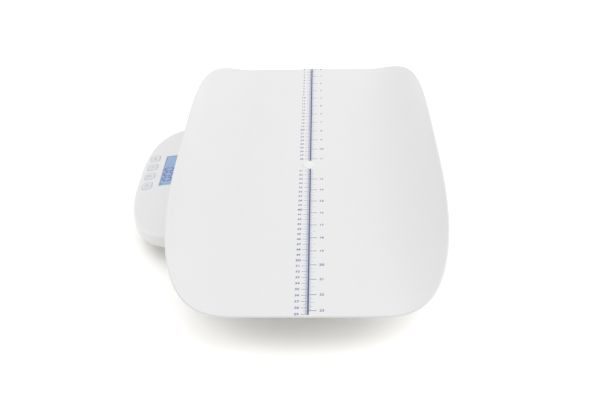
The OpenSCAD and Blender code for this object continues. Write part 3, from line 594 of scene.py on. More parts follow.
def plug_profile():
    rise = PLUG_RISE - PLUG_EDGE
    curve = (PLUG_R ** 2 + rise ** 2) / (2 * rise)
    rim = math.degrees(math.acos(PLUG_R / curve))
    dome = arc_profile((0, PLUG_RISE - curve), curve, rim + 0.7, 89.9, 20)
    return [(PLUG_R, PLUG_FOOT), (PLUG_R, 0), (PLUG_R - 0.08 * MM, PLUG_EDGE * 0.9), *dome]


def build_plug():
    bm = bmesh.new()
    turned(bm, [(r, TRAY_TOP + z) for r, z in plug_profile()], centre=(TRAY_X, 0))
    plug = make_object("tray_plug_cap", finish_mesh(bm, "tray_plug_cap", 50), SHELL_ABS_PAINTED_LIGHT)
    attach(plug, "weighing_tray")
    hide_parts("tray_plug")
    return plug


print("plug:", triangles(build_plug()), "triangles")

# %% [markdown]
# ## Ruler
# A centimetre scale and an inch scale share one line down the middle of the tray. Marks
# are the kind of thing that a printer repeats by rule: every fifth is longer and every
# tenth longer again. A Geometry Nodes tree does the same with the index of each point, so
# one tree draws both scales. No mark is printed where the plug sits.

# %% Tree for the marks
INK_HEIGHT = 0.05 * MM


def every(tree, index, step):
    """1 where the index is a multiple of the step, else 0."""
    rest = add(tree, MATH, "MODULO", index, step)
    return add(tree, MATH, "LESS_THAN", rest, 0.5)


def marks_tree():
    names = ["Spacing", "First", "Start", "Short", "Medium", "Long", "Longest", "Width",
             "Bold width", "Side", "Gap", "Thickness"]
    tree, given, out = new_geometry_tree("ruler_marks", [
        ("Count", "NodeSocketInt"), ("Medium every", "NodeSocketInt"), ("Long every", "NodeSocketInt"),
        ("Longest every", "NodeSocketInt"), *[(name, "NodeSocketFloat") for name in names],
        ("Material", "NodeSocketMaterial")])
    index = add(tree, "GeometryNodeInputIndex")
    length = given["Short"]
    for rank in ("Medium", "Long", "Longest"):
        extra = add(tree, MATH, "SUBTRACT", given[rank], length)
        chosen = every(tree, index, given[rank + " every"])
        length = add(tree, MATH, "ADD", length, add(tree, MATH, "MULTIPLY", extra, chosen))
    half = add(tree, MATH, "MULTIPLY", length, 0.5)
    middle = add(tree, MATH, "ADD", given["Start"], half)
    across = add(tree, MATH, "MULTIPLY", given["Side"], middle)
    passed = add(tree, MATH, "MULTIPLY", index, given["Spacing"])
    along = add(tree, MATH, "SUBTRACT", given["First"], passed)
    height = add(tree, MATH, "MULTIPLY", given["Thickness"], 0.5)
    row = add(tree, "GeometryNodeMeshLine", Count=given["Count"])
    place = add(tree, "ShaderNodeCombineXYZ", X=across, Y=along, Z=height)
    spread = add(tree, "GeometryNodeSetPosition", Geometry=row, Position=place)
    clear = add(tree, MATH, "GREATER_THAN", add(tree, MATH, "ABSOLUTE", along), given["Gap"])
    bolder = add(tree, MATH, "SUBTRACT", given["Bold width"], given["Width"])
    bold = add(tree, MATH, "MULTIPLY", bolder, every(tree, index, given["Longest every"]))
    width = add(tree, MATH, "ADD", given["Width"], bold)
    size = add(tree, "ShaderNodeCombineXYZ", X=length, Y=width, Z=given["Thickness"])
    bar = add(tree, "GeometryNodeMeshCube")
    bars = add(tree, "GeometryNodeInstanceOnPoints", Points=spread, Selection=clear,
               Instance=bar, Scale=size)
    return close_tree(tree, given, out, bars)


MARKS = marks_tree()
print("tree", MARKS.name, "has", len(MARKS.nodes), "nodes")

# %% Marks and main line
RULER_ZERO = 295 * MM
RULER_END = -296 * MM
LINE_LEFT = 1.4 * MM
LINE_RIGHT = 3.2 * MM
PLUG_GAP = 10 * MM
INCH = 25.4 * MM


def on_tray(piece):
    """Places a flat print, drawn round the middle of the tray, on its surface."""
    piece.data.transform(Matrix.Translation((TRAY_X, 0, TRAY_TOP)))
    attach(piece, "weighing_tray")
    return piece


def build_marks():
    scales = {
        "centimetre_marks": dict(Count=591, Spacing=1 * MM, First=RULER_ZERO, Side=-1.0,
                                 Start=-LINE_LEFT, Short=2.6 * MM, Medium=4.9 * MM,
                                 Long=7.1 * MM, Longest=7.1 * MM, Width=0.3 * MM,
                                 Bold_width=0.55 * MM, Medium_every=5, Long_every=10,
                                 Longest_every=10),
        "inch_marks": dict(Count=370, Spacing=INCH / 16, First=RULER_ZERO, Side=1.0,
                           Start=LINE_RIGHT, Short=2.2 * MM, Medium=4.4 * MM, Long=6.6 * MM,
                           Longest=8.5 * MM, Width=0.25 * MM, Bold_width=0.75 * MM,
                           Medium_every=4, Long_every=8, Longest_every=16)}
    for name, sizes in scales.items():
        marks = make_object(name, bpy.data.meshes.new(name))
        run_nodes(marks, MARKS, Gap=PLUG_GAP, Thickness=INK_HEIGHT, Material=MARK_INK, **sizes)
        on_tray(marks)
        print(name, triangles(marks), "triangles")


def build_line():
    bm = bmesh.new()
    middle = (LINE_LEFT + LINE_RIGHT) / 2
    width = LINE_RIGHT - LINE_LEFT
    for far, near in ((RULER_ZERO + 3 * MM, PLUG_GAP), (-PLUG_GAP, RULER_END)):
        rings = []
        for z in (0, INK_HEIGHT):
            outline = rounded_outline(width, far - near, width / 2)
            rings.append([(middle + p.x, (far + near) / 2 + p.y, z) for p in outline])
        loft(bm, rings)
    on_tray(make_object("ruler_line", finish_mesh(bm, "ruler_line"), NAVY_INK))


build_marks()
build_line()

# %% [markdown]
# The numbers are text, made into thin solid letters. Text becomes a mesh before it is
# placed, so that the finished print sits at the origin like every other piece.

# %% Numbers
DIGIT_HEIGHT = 3.3 * MM
BIG_DIGIT = 1.2
DIGIT_STRETCH = 1.12
DIGIT_BOLD = 0.03
DIGIT_SLANT = 0.08
CAPITAL_SHARE = 0.7
CENTIMETRES_AT = -10.7 * MM
INCHES_AT = 17.6 * MM


def text_mesh(words, height, thickness, bold=0.0, slant=0.0):
    """A flat closed mesh of the words, with its middle at the origin."""
    curve = bpy.data.curves.new("words", "FONT")
    curve.body = words
    curve.size = height / CAPITAL_SHARE
    curve.extrude = thickness / 2
    curve.resolution_u = 2
    curve.offset = bold * height
    curve.shear = slant
    curve.align_x = "CENTER"
    curve.align_y = "CENTER"
    holder = bpy.data.objects.new("words", curve)
    bpy.context.collection.objects.link(holder)
    bpy.context.view_layer.update()
    mesh = bpy.data.meshes.new_from_object(holder)
    bpy.data.objects.remove(holder)
    bpy.data.curves.remove(curve)
    return mesh


def build_numbers(name, count, spacing, centre_x, bigger_every):
    bm = bmesh.new()
    for value in range(count):
        y = RULER_ZERO - value * spacing
        if abs(y) < PLUG_GAP:
            continue
        size = DIGIT_HEIGHT * (BIG_DIGIT if value % bigger_every == 0 else 1)
        mesh = text_mesh(str(value), size, INK_HEIGHT, DIGIT_BOLD, DIGIT_SLANT)
        place = Matrix.Translation((centre_x, y, INK_HEIGHT / 2))
        mesh.transform(place @ Matrix.Diagonal((DIGIT_STRETCH, 1, 1, 1)))
        bm.from_mesh(mesh)
        bpy.data.meshes.remove(mesh)
    numbers = on_tray(make_object(name, finish_mesh(bm, name), MARK_INK))
    print(name, triangles(numbers), "triangles")


build_numbers("centimetre_numbers", 60, 10 * MM, CENTIMETRES_AT, 10)
build_numbers("inch_numbers", 24, INCH, INCHES_AT, 5)

# %% [markdown]
# ## Shells with rounded edges
# The console and the base are pairs of thin moulded shells. Each is made as the mould
# makes it: a solid for the outside, less a smaller solid for the inside, less what the
# cores leave open. The solids are lofts of one outline at several heights and insets, so
# an edge is round because its rings follow a quarter circle.

# %% Roofs, cuts and booleans


def inner_rings(ring, centre, steps, height_of):
    """Rings that close a roof or a floor from its edge towards its centre."""
    rings = []
    for i in range(1, steps):
        part = 1 - i / steps
        flat = [(centre[0] + (x - centre[0]) * part, centre[1] + (y - centre[1]) * part)
                for x, y, z in ring]
        heights = [height_of(x, y) if callable(height_of) else height_of for x, y in flat]
        rings.append([(x, y, height) for (x, y), height in zip(flat, heights)])
    return rings


def cut_flat(bm, at, normal):
    """Cuts a closed solid by a plane, keeps the side behind the normal and closes it."""
    cut = bmesh.ops.bisect_plane(bm, geom=bm.verts[:] + bm.edges[:] + bm.faces[:], plane_co=at,
                                 plane_no=normal, clear_outer=True, dist=1e-7)
    edges = [item for item in cut["geom_cut"] if isinstance(item, bmesh.types.BMEdge)]
    bmesh.ops.edgeloop_fill(bm, edges=edges)


def solid(bm, name, *materials):
    return make_object(name, finish_mesh(bm, name), *materials)


def combine(piece, operation, *others):
    """Joins or cuts a piece by other solids, which are used up."""
    for other in others:
        modified(piece, "BOOLEAN", object=other, operation=operation, solver="EXACT")
        bpy.data.objects.remove(other)


def reshaded(piece, material, angle=30.0):
    """One material, smooth below the angle, with normals that large flat faces decide."""
    piece.data.materials.clear()
    piece.data.materials.append(material)
    bm = bmesh.new()
    bm.from_mesh(piece.data)
    bmesh.ops.remove_doubles(bm, verts=bm.verts, dist=2e-6)
    bmesh.ops.dissolve_degenerate(bm, edges=bm.edges, dist=2e-6)
    bm.to_mesh(piece.data)
    bm.free()
    piece.data.shade_smooth()
    piece.data.set_sharp_from_angle(angle=math.radians(angle))
    modified(piece, "WEIGHTED_NORMAL", keep_sharp=True, weight=50)


# %% [markdown]
# ## Console
# The console stands out from under the tray. Its top slopes towards the reader and falls
# away a little at both ends, and a soft shoulder runs round it. The window and the keys
# lie in the slope, so their openings are cut square to it, with a small flare at the
# mouth, which catches the light as a moulded edge does.

# %% Sizes of the console
CONSOLE_CENTRE = (TRAY_X - 162 * MM, -11.5 * MM)
CONSOLE_HALF = (79 * MM, 135 * MM)
CONSOLE_POWER = 2.85
CONSOLE_NECK = TRAY_X - 115 * MM
CONSOLE_BOTTOM = 26 * MM
CONSOLE_SPLIT = 34 * MM
CONSOLE_CAP = 56 * MM
CONSOLE_WALL = 2.5 * MM
SHOULDER = 4 * MM
BELLY = 5 * MM
SPLIT_EDGE = 0.25 * MM
PANEL_SLOPE = math.radians(8)
PANEL_CROWN = 6.5 * MM
CROWN_POWER = 2.6
PANEL_AT = Vector((TRAY_X - 195 * MM, 0, 52.25 * MM))
ON_PANEL = Matrix.Translation(PANEL_AT) @ Matrix.Rotation(-PANEL_SLOPE, 4, "Y")
CONSOLE_POINTS = 240
CONSOLE_OUTLINE = [Vector(CONSOLE_CENTRE) + p for p in
                   superellipse(*CONSOLE_HALF, CONSOLE_POWER, CONSOLE_POWER, CONSOLE_POINTS)]


def crown(y):
    """How far the panel has dropped at distance y from the middle of the tray."""
    return PANEL_CROWN * (abs(y - CONSOLE_CENTRE[1]) / CONSOLE_HALF[1]) ** CROWN_POWER


def panel_height(x, y):
    rise = math.tan(PANEL_SLOPE) * (x - PANEL_AT.x)
    return min(PANEL_AT.z + rise - crown(y) / math.cos(PANEL_SLOPE), CONSOLE_CAP)


def roof_rings(outline, base, shoulder, drop):
    """Rings of a solid under the panel: up the wall, round the shoulder, over the roof."""
    rings = [offset_ring(outline, inset, height) for inset, height in base]
    for inset, fall in quarter(shoulder, 8):
        rings.append(offset_ring(outline, inset, lambda x, y: panel_height(x, y) - drop - fall))
    return rings + inner_rings(rings[-1], CONSOLE_CENTRE, 24,
                               lambda x, y: panel_height(x, y) - drop)


def console_outline(inset):
    return [Vector(p[:2]) for p in offset_ring(CONSOLE_OUTLINE, inset, 0.0)]


def console_solid(name, inset, rings):
    """A closed solid of the rings, cut off flat at the neck under the tray."""
    bm = bmesh.new()
    loft(bm, rings)
    cut_flat(bm, (CONSOLE_NECK - inset, 0, 0), (1, 0, 0))
    return solid(bm, name)


def roof_solid(name, inset, drop, base, shoulder):
    rings = roof_rings(console_outline(inset), base, shoulder, drop)
    return console_solid(name, inset, rings)


def opening(bm, middle, width, length, radius, flare):
    """A cutter through the panel whose mouth widens by the flare at the surface."""
    outline = rounded_outline(width, length, radius)
    rings = []
    for grow, height in ((0, None), (0, -flare), (flare, 0), (flare + 1 * MM, 1 * MM)):
        ring = []
        for x, y, z in offset_ring(outline, -grow, 0.0):
            y_panel = middle[1] + y
            depth = -CUT_DEPTH if height is None else height - crown(y_panel)
            ring.append(ON_PANEL @ Vector((middle[0] + x, y_panel, depth)))
        rings.append(ring)
    loft(bm, rings)


CUT_DEPTH = 11 * MM
WINDOW_SIZE = (28 * MM, 75 * MM)
KEY_SIZE = (14.2 * MM, 16.3 * MM)
KEY_CORNER = 4.5 * MM
KEY_GAP = 0.3 * MM
KEY_ROW = -31.2 * MM
KEY_PITCH = 23 * MM
KEYS = {name: (KEY_ROW, (i - 1.5) * KEY_PITCH)
        for i, name in enumerate(("key_power", "key_zero", "key_hold", "key_unit"))}


def panel_cutters():
    bm = bmesh.new()
    opening(bm, (0, 0), *WINDOW_SIZE, 1 * MM, 0.4 * MM)
    width, length = (size + 2 * KEY_GAP for size in KEY_SIZE)
    for middle in KEYS.values():
        opening(bm, middle, width, length, KEY_CORNER + KEY_GAP, 0.3 * MM)
    return solid(bm, "panel_cutters")


CONSOLE_SCREWS = [(TRAY_X + x * MM, CONSOLE_CENTRE[1] + y * MM)
                  for x in (-201.5, -141) for y in (-98, 98)]


def build_upper_shell():
    base = [(SPLIT_EDGE, CONSOLE_SPLIT), (0, CONSOLE_SPLIT + SPLIT_EDGE)]
    shell = roof_solid("console_top", 0, 0, base, SHOULDER)
    core = roof_solid("core", CONSOLE_WALL, CONSOLE_WALL, [(0, CONSOLE_SPLIT - 1 * MM)],
                      SHOULDER - 1.5 * MM)
    combine(shell, "DIFFERENCE", core, panel_cutters())
    bosses = bmesh.new()
    for place in CONSOLE_SCREWS:
        top = panel_height(*place) - CONSOLE_WALL / 2
        turned(bosses, [(4 * MM, CONSOLE_SPLIT), (4 * MM, top)], place, 32)
    combine(shell, "UNION", solid(bosses, "bosses"))
    reshaded(shell, SHELL_ABS_PAINTED_LIGHT)
    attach(shell, "base")
    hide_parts("console_upper_shell")
    return shell


print("console top:", triangles(build_upper_shell()), "triangles")

# %% Lower shell of the console
# Radii and heights above the console's bottom of the sink and the clearance hole of a screw
SCREW_SINK = ((3.8, -1), (3.8, 0), (3.5, 0.3), (3.5, 3.2), (1.55, 3.2))


def belly_solid(name, inset, bottom, top):
    outline = console_outline(inset)
    side = [offset_ring(outline, depth, bottom + fall)
            for depth, fall in reversed(quarter(BELLY, 8))]
    floor = inner_rings(side[0], CONSOLE_CENTRE, 3, bottom)
    rim = [offset_ring(outline, 0, top - SPLIT_EDGE), offset_ring(outline, SPLIT_EDGE, top)]
    return console_solid(name, inset, floor[::-1] + side + rim)


def build_lower_shell():
    shell = belly_solid("console_bottom", 0, CONSOLE_BOTTOM, CONSOLE_SPLIT)
    core = belly_solid("core", CONSOLE_WALL, CONSOLE_BOTTOM + CONSOLE_WALL, CONSOLE_SPLIT + 2 * MM)
    combine(shell, "DIFFERENCE", core)
    bosses = bmesh.new()
    sinks = bmesh.new()
    sink = [(r * MM, CONSOLE_BOTTOM + z * MM) for r, z in SCREW_SINK]
    sink.append((sink[-1][0], CONSOLE_SPLIT + 1 * MM))
    for place in CONSOLE_SCREWS:
        turned(bosses, [(5 * MM, CONSOLE_BOTTOM + 1 * MM), (5 * MM, CONSOLE_SPLIT)], place, 48)
        turned(sinks, sink, place, 48)
    combine(shell, "UNION", solid(bosses, "bosses"))
    combine(shell, "DIFFERENCE", solid(sinks, "sinks"))
    reshaded(shell, SHELL_ABS_PAINTED_LIGHT)
    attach(shell, "base")
    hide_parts("console_lower_shell")
    return shell


print("console bottom:", triangles(build_lower_shell()), "triangles")

# %% [markdown]
# ## Display
# Behind the window lies a liquid crystal panel that is lit from behind in light blue. Its
# digits are read from the console's free side, so their tops point towards the tray. A
# digit is made of bars with pointed ends, and the lit ground is a shade paler near its lamp.

# %% Digits
LCD_TOP = -1.916 * MM
DIGIT = (10.9 * MM, 15.2 * MM)
BAR = 3.2 * MM
BAR_GAP = 0.05 * MM
SLANT = 0.08
FILM = 0.03 * MM
SEGMENTS = {"top": ((0, 1), (1, 1)), "middle": ((0, 0), (1, 0)), "bottom": ((0, -1), (1, -1)),
            "upper left": ((0, 0), (0, 1)), "upper right": ((1, 0), (1, 1)),
            "lower left": ((0, -1), (0, 0)), "lower right": ((1, -1), (1, 0))}
ZERO = [name for name in SEGMENTS if name != "middle"]


def bar_into(bm, start, end, thickness, place):
    """One pointed bar of a digit, as a thin closed solid."""
    start, end = Vector(start), Vector(end)
    along = (end - start).normalized()
    side = Vector((-along.y, along.x)) * BAR / 2
    start, end = start + along * BAR_GAP, end - along * BAR_GAP
    tip = along * BAR / 2
    outline = [start, start + tip - side, end - tip - side, end, end - tip + side,
               start + tip + side]
    rings = [[place @ Vector((p.x + SLANT * p.y, p.y, z)) for p in outline]
             for z in (0, thickness)]
    loft(bm, rings)


def digit_into(bm, segments, centre, place):
    half_w, half_h = DIGIT[0] / 2 - BAR / 2, DIGIT[1] / 2 - BAR / 2
    for name in segments:
        ends = [(centre + (2 * a - 1) * half_w, b * half_h) for a, b in SEGMENTS[name]]
        bar_into(bm, *ends, FILM, place)


# %% Display, window and its lit ground


def lcd_material():
    """Liquid crystal over a backlight: light blue that brightens towards the lamp."""
    material, tree, shader, point = new_material("backlit_lcd")
    place = add(tree, "ShaderNodeSeparateXYZ", Vector=point)
    fall = add(tree, SPAN, Value=place.outputs["Y"], From_Min=-WINDOW_SIZE[1] / 2,
               From_Max=WINDOW_SIZE[1] / 2)
    glow = add(tree, MIX, COLOURS, Factor=fall, _6=srgb("9CC4E8"), _7=srgb("94C0EA"))
    tree.links.new(glow.outputs[2], shader.inputs["Emission Color"])
    tree.links.new(glow.outputs[2], shader.inputs["Base Color"])
    set_shader(shader, Roughness=0.35, Emission_Strength=0.12)
    return material


def clear_material():
    """Clear moulded acrylic: see-through, with a faint waviness in its gloss."""
    material, tree, shader, point = new_material("clear_acrylic")
    wave = add(tree, NOISE, Vector=point, Scale=per_metre(15))
    bump = add(tree, "ShaderNodeBump", Height=wave.outputs["Fac"], Distance=0.002 * MM)
    tree.links.new(bump.outputs[0], shader.inputs["Normal"])
    set_shader(shader, Base_Color=srgb("FAFCFF"), Roughness=0.03, IOR=1.49,
               Transmission_Weight=1.0)
    return material


BACKLIT_LCD = lcd_material()
CLEAR_ACRYLIC = clear_material()
# Liquid crystal that is switched on: a mid blue with a little glow, which is partly the
# backlight through the crystal and partly painted light for the room light that the window
# keeps from it
LIT_SEGMENT = ink("lit_segments", "5470C4", 0.3, glow=0.2)
DIGIT_PLACES = [3 * MM, -9 * MM, -21 * MM]
DIGIT_CENTRE = -5.2 * MM
POINT_SIZE = 1.3 * MM
UNIT_HEIGHT = 3.4 * MM
UNIT_AT = (32.5 * MM, -6.2 * MM, FILM / 2)
ACROSS = Matrix.Rotation(-math.pi / 2, 4, "Z")


def build_digits():
    """Three zeros, a point and a unit, whose tops point towards the tray."""
    reading = ON_PANEL @ Matrix.Translation((DIGIT_CENTRE, 0, LCD_TOP)) @ ACROSS
    bm = bmesh.new()
    for y in DIGIT_PLACES:
        digit_into(bm, ZERO, -y, reading)
    point_at = Vector((-(DIGIT_PLACES[0] + DIGIT_PLACES[1]) / 2, -DIGIT[1] / 2 + 0.5 * MM))
    dot = [point_at + p for p in rounded_outline(POINT_SIZE, POINT_SIZE, 0.3 * MM, 3)]
    rings = [[reading @ Vector((*p, z)) for p in dot] for z in (0, FILM)]
    loft(bm, rings)
    unit = text_mesh("kg", UNIT_HEIGHT, FILM)
    unit.transform(reading @ Matrix.Translation(UNIT_AT))
    bm.from_mesh(unit)
    bpy.data.meshes.remove(unit)
    digits = solid(bm, "display_digits", LIT_SEGMENT)
    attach(digits, "base")
    return digits


print("digits:", triangles(build_digits()), "triangles")

# %% [markdown]
# ## Softened copies
# Some pieces already have the right shape in the frame and only lack the small rounds that
# every moulded or machined edge has. Such a piece is copied, its loose triangles are
# merged, and its sharp edges are bevelled. A light catches those edges, which is most of
# what makes a part look made rather than drawn.

# %% Softening


def softened(node, body, material, width, limit_deg=35.0, segments=3):
    """A bevelled copy of a frame node that stands for it."""
    limit = math.radians(limit_deg)
    bm = bmesh.new()
    bm.from_mesh(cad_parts[node].data)
    bmesh.ops.remove_doubles(bm, verts=bm.verts, dist=1e-6)
    bmesh.ops.dissolve_limit(bm, angle_limit=math.radians(0.5), verts=bm.verts, edges=bm.edges)
    sharp = [e for e in bm.edges if len(e.link_faces) == 2 and e.calc_face_angle(0) > limit]
    bmesh.ops.bevel(bm, geom=sharp, offset=width, offset_type="OFFSET", segments=segments,
                    profile=0.5, affect="EDGES", clamp_overlap=True)
    bmesh.ops.remove_doubles(bm, verts=bm.verts, dist=1e-6)
    mesh = bpy.data.meshes.new(node + "_soft")
    bm.to_mesh(mesh)
    bm.free()
    mesh.shade_smooth()
    mesh.set_sharp_from_angle(angle=math.radians(40))
    piece = make_object(node + "_soft", mesh, material)
    modified(piece, "WEIGHTED_NORMAL", keep_sharp=True, weight=50)
    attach(piece, body)
    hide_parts(node)
    return piece


window = softened("display_window", "base", CLEAR_ACRYLIC, 0.15 * MM, 35, 2)
for key in KEYS:
    softened(key, key, KEY_ABS, 0.35 * MM, 60)
print("window:", triangles(window), "triangles;", len(KEYS), "keys")

# %% [markdown]
# ## Key prints
# Each key carries a thin rounded frame in pale ink and a plain sign in grey ink: power,
# zero, hold and change of unit. A sign is a flat drawing of strips and rings, and every
# strip becomes a thin solid that rides on its own key.

# %% Key signs
FRAME_SIZE = (12.9 * MM, 15.0 * MM)
FRAME_CORNER = 3.85 * MM
FRAME_LINE = 0.5 * MM
SIGN_LINE = 0.55 * MM
KEY_PROUD = 0.2 * MM


def strip_into(bm, points, width, place, closed=False):
    """A flat strip of ink along the points, as a closed solid."""
    count = len(points)
    left, right = [], []
    for i, point in enumerate(points):
        before = points[(i - 1) % count] if closed or i > 0 else point
        after = points[(i + 1) % count] if closed or i < count - 1 else point
        along = (after - before).normalized()
        side = Vector((-along.y, along.x)) * width / 2
        left.append(point + side)
        right.append(point - side)
    rings = []
    for a, b in zip(left, right):
        corners = ((a, 0), (a, INK_HEIGHT), (b, INK_HEIGHT), (b, 0))
        rings.append([place @ Vector((p.x, p.y, z)) for p, z in corners])
    loft(bm, rings, closed)


def bow(centre, radius, start, end, steps=24):
    """Points on an arc, in degrees."""
    angles = [math.radians(start + (end - start) * i / steps) for i in range(steps + 1)]
    return [Vector(centre) + Vector((math.cos(a), math.sin(a))) * radius for a in angles]


def mm_line(*pairs):
    return [Vector((x * MM, y * MM)) for x, y in pairs]


SIGNS = {
    "key_power": [bow((0, 0), 2.3 * MM, 125, 415), mm_line((0, 0.4), (0, 2.9))],
    "key_zero": [bow((0, 0.9 * MM), 1.5 * MM, 0, 180) + bow((0, -0.9 * MM), 1.5 * MM, 180, 360),
                 mm_line((-3.6, -3.4), (3.6, -3.4))],
    "key_hold": [mm_line((-1.2, -2.4), (-1.2, 2.4)), mm_line((1.2, -2.4), (1.2, 2.4))],
    "key_unit": [mm_line((-2.8, 0.9), (2.8, 0.9)), mm_line((1.4, 2.3), (2.8, 0.9)),
                 mm_line((2.8, -0.9), (-2.8, -0.9)), mm_line((-1.4, -2.3), (-2.8, -0.9))]}


def build_key_print(key):
    middle = KEYS[key]
    top = KEY_PROUD - crown(middle[1])
    place = ON_PANEL @ Matrix.Translation((*middle, top))
    reading = place @ ACROSS
    frame_line, sign = bmesh.new(), bmesh.new()
    edge = rounded_outline(*FRAME_SIZE, FRAME_CORNER)
    strip_into(frame_line, edge, FRAME_LINE, place, closed=True)
    for line in SIGNS[key]:
        closed = (line[0] - line[-1]).length < 0.1 * MM or key == "key_zero" and len(line) > 4
        strip_into(sign, line, SIGN_LINE, reading, closed=closed)
    for bm, name, print_ink in ((frame_line, "_frame_print", PALE_INK), (sign, "_print", GREY_INK)):
        printed = solid(bm, key + name, print_ink)
        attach(printed, key)


for key in KEYS:
    build_key_print(key)
print("key prints:", len(KEYS))

# %% [markdown]
# ## Base
# The base hides under the tray. Its cover has a rounded top edge like the console, and its
# pan carries the feet, the battery door and the sunk screws underneath.

# %% Base cover
BASE_SIZE = (230 * MM, 300 * MM)
BASE_CORNER = 35 * MM
BASE_BOTTOM = 6 * MM
BASE_SPLIT = 28 * MM
BASE_TOP = 47 * MM
BASE_WALL = 2.5 * MM
COVER_ROUND = 5 * MM
POST_HOLE_R = 9 * MM
SPACER_HOLE_R = 15.5 * MM
HOLE_FLARE = 0.5 * MM
POSTS = [(TRAY_X + x * MM, y * MM) for x in (-78, 78) for y in (-105, 105)]


def base_outline(inset):
    width, length = (side - 2 * inset for side in BASE_SIZE)
    corners = rounded_outline(width, length, BASE_CORNER - inset, 12)
    return [Vector((TRAY_X, 0)) + p for p in corners]


def cover_solid(name, inset, bottom, top, edge):
    outline = base_outline(inset)
    rings = [offset_ring(outline, edge, bottom), offset_ring(outline, 0, bottom + edge)]
    rings += [offset_ring(outline, depth, top - fall) for depth, fall in quarter(COVER_ROUND, 8)]
    bm = bmesh.new()
    loft(bm, rings)
    return solid(bm, name)


def build_cover():
    cover = cover_solid("base_top", 0, BASE_SPLIT, BASE_TOP, SPLIT_EDGE)
    core = cover_solid("core", BASE_WALL, BASE_SPLIT - 1 * MM, BASE_TOP - BASE_WALL, 0)
    holes = bmesh.new()
    for place, radius in [*((post, POST_HOLE_R) for post in POSTS), ((TRAY_X, 0), SPACER_HOLE_R)]:
        hole = [(radius, BASE_TOP - 5 * MM), (radius, BASE_TOP - HOLE_FLARE),
                (radius + HOLE_FLARE, BASE_TOP), (radius + 0.6 * MM, BASE_TOP + 1 * MM)]
        turned(holes, hole, place, 64)
    combine(cover, "DIFFERENCE", core, solid(holes, "holes"))
    reshaded(cover, SHELL_ABS_PAINTED_LIGHT)
    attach(cover, "base")
    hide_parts("base_cover")
    return cover


print("base cover:", triangles(build_cover()), "triangles")

# %% Pan, door and feet
pan = softened("base_pan", "base", BASE_ABS, 0.5 * MM, 60, 2)
door = softened("battery_door", "battery_door", BASE_ABS, 0.3 * MM, 60, 2)
FEET = [(TRAY_X + x * MM, y * MM) for x in (-95, 95) for y in (-130, 130)]


def foot_profile():
    """From the middle of the sole outwards and up: a dished sole with two grooves."""
    sole = [(0.2, 0.5), (3.0, 0.5), (3.4, 0.1), (4.6, 0), (5.0, 0.4), (6.4, 0.4), (6.8, 0), (8.2, 0),
            (8.6, 0.4), (9.6, 0.4), (10.0, 0.05), (11.0, 0), (11.6, 0.25), (11.9, 0.7), (12.0, 1.2)]
    body = [(12.0, 5.6), (11.7, 6.0), (4.0, 6.0), (4.0, 9.0), (5.5, 9.0), (5.5, 10.6), (5.1, 11.0)]
    return [(r * MM, z * MM) for r, z in sole + body]


def build_feet():
    bm = bmesh.new()
    for place in FEET:
        turned(bm, foot_profile(), place, 64)
    feet = solid(bm, "moulded_feet", RUBBER)
    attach(feet, "base")
    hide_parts("rubber_feet")
    return feet


print("pan:", triangles(pan), "door:", triangles(door), "feet:", triangles(build_feet()), "triangles")

# %% [markdown]
# ## Screws
# The screws underneath are all alike: a pan head with a cross recess, sunk in a round
# pocket. One screw is made with care, and a Geometry Nodes tree puts a copy at every
# place, which are the points of a small mesh.

# %% One screw and its places


def cross_screw(head_r, head_h, shank_r, shank_l):
    """A screw on its head, shank up, with a cross recess in the underside of the head."""
    dome = [(head_r * r, head_h * z) for r, z in ((0.4, 0), (0.75, 0.08), (0.93, 0.28), (1, 0.6))]
    shank = [(shank_r, head_h), (shank_r, head_h + shank_l)]
    bm = bmesh.new()
    turned(bm, [*dome, (head_r, head_h), *shank], count=40)
    screw = solid(bm, "screw")
    arm = rounded_outline(head_r * 1.1, head_r * 0.24, head_r * 0.1, 3)
    levels = ((1.1, -1 * MM), (1.0, 0), (0.6, head_h * 0.6))
    for turn in (0, math.pi / 2):
        spin = Matrix.Rotation(turn, 3, "Z")
        rings = [[spin @ Vector((p.x * scale, p.y * scale, height)) for p in arm]
                 for scale, height in levels]
        recess = bmesh.new()
        loft(recess, rings)
        combine(screw, "DIFFERENCE", solid(recess, "recess"))
    return screw


def spread_tree():
    tree, given, out = new_geometry_tree("screws_at_points", [
        ("Screw", "NodeSocketObject"), ("Material", "NodeSocketMaterial")])
    screw = add(tree, "GeometryNodeObjectInfo", Object=given["Screw"])
    copies = add(tree, "GeometryNodeInstanceOnPoints", Points=given["Geometry"],
                 Instance=screw.outputs["Geometry"])
    return close_tree(tree, given, out, copies)


SCREWS_AT_POINTS = spread_tree()
BASE_SCREWS = [(TRAY_X + x * MM, y * MM) for x in (-105, 105) for y in (-70, 70)]
BASE_SCREWS += [(TRAY_X, y * MM) for y in (-140, 140)]
CELL_SCREWS = [(TRAY_X, (-50 + y) * MM) for y in (-7, 7)]
# Places, height of the heads' undersides, and in mm: head radius, head, shank radius, shank
SCREW_ROWS = {
    "console_screws": (CONSOLE_SCREWS, CONSOLE_BOTTOM + 1 * MM, (3, 2.2, 1.5, 11.8)),
    "base_screws": (BASE_SCREWS, BASE_BOTTOM + 1 * MM, (3, 2.2, 1.5, 18.8)),
    "cell_base_screws": (CELL_SCREWS, BASE_BOTTOM + 0.2 * MM, (4.5, 3, 2.5, 11.8))}
for node, (places, height, sizes) in SCREW_ROWS.items():
    screw = cross_screw(*(size * MM for size in sizes))
    points = bpy.data.meshes.new(node + "_crossed")
    points.from_pydata([(x, y, height) for x, y in places], [], [])
    row = make_object(node + "_crossed", points)
    run_nodes(row, SCREWS_AT_POINTS, Screw=screw, Material=ZINC_STEEL)
    bpy.data.objects.remove(screw)
    row.data.shade_smooth()
    row.data.set_sharp_from_angle(angle=math.radians(35))
    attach(row, "base")
    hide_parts(node)
    print(node, triangles(row), "triangles")

# %% [markdown]
# ## Inner pieces
# What the shells hide keeps the frame's own shapes. Each still gets the finish of its real
# material, because the tray and the door can be opened up in a drawing or a section.

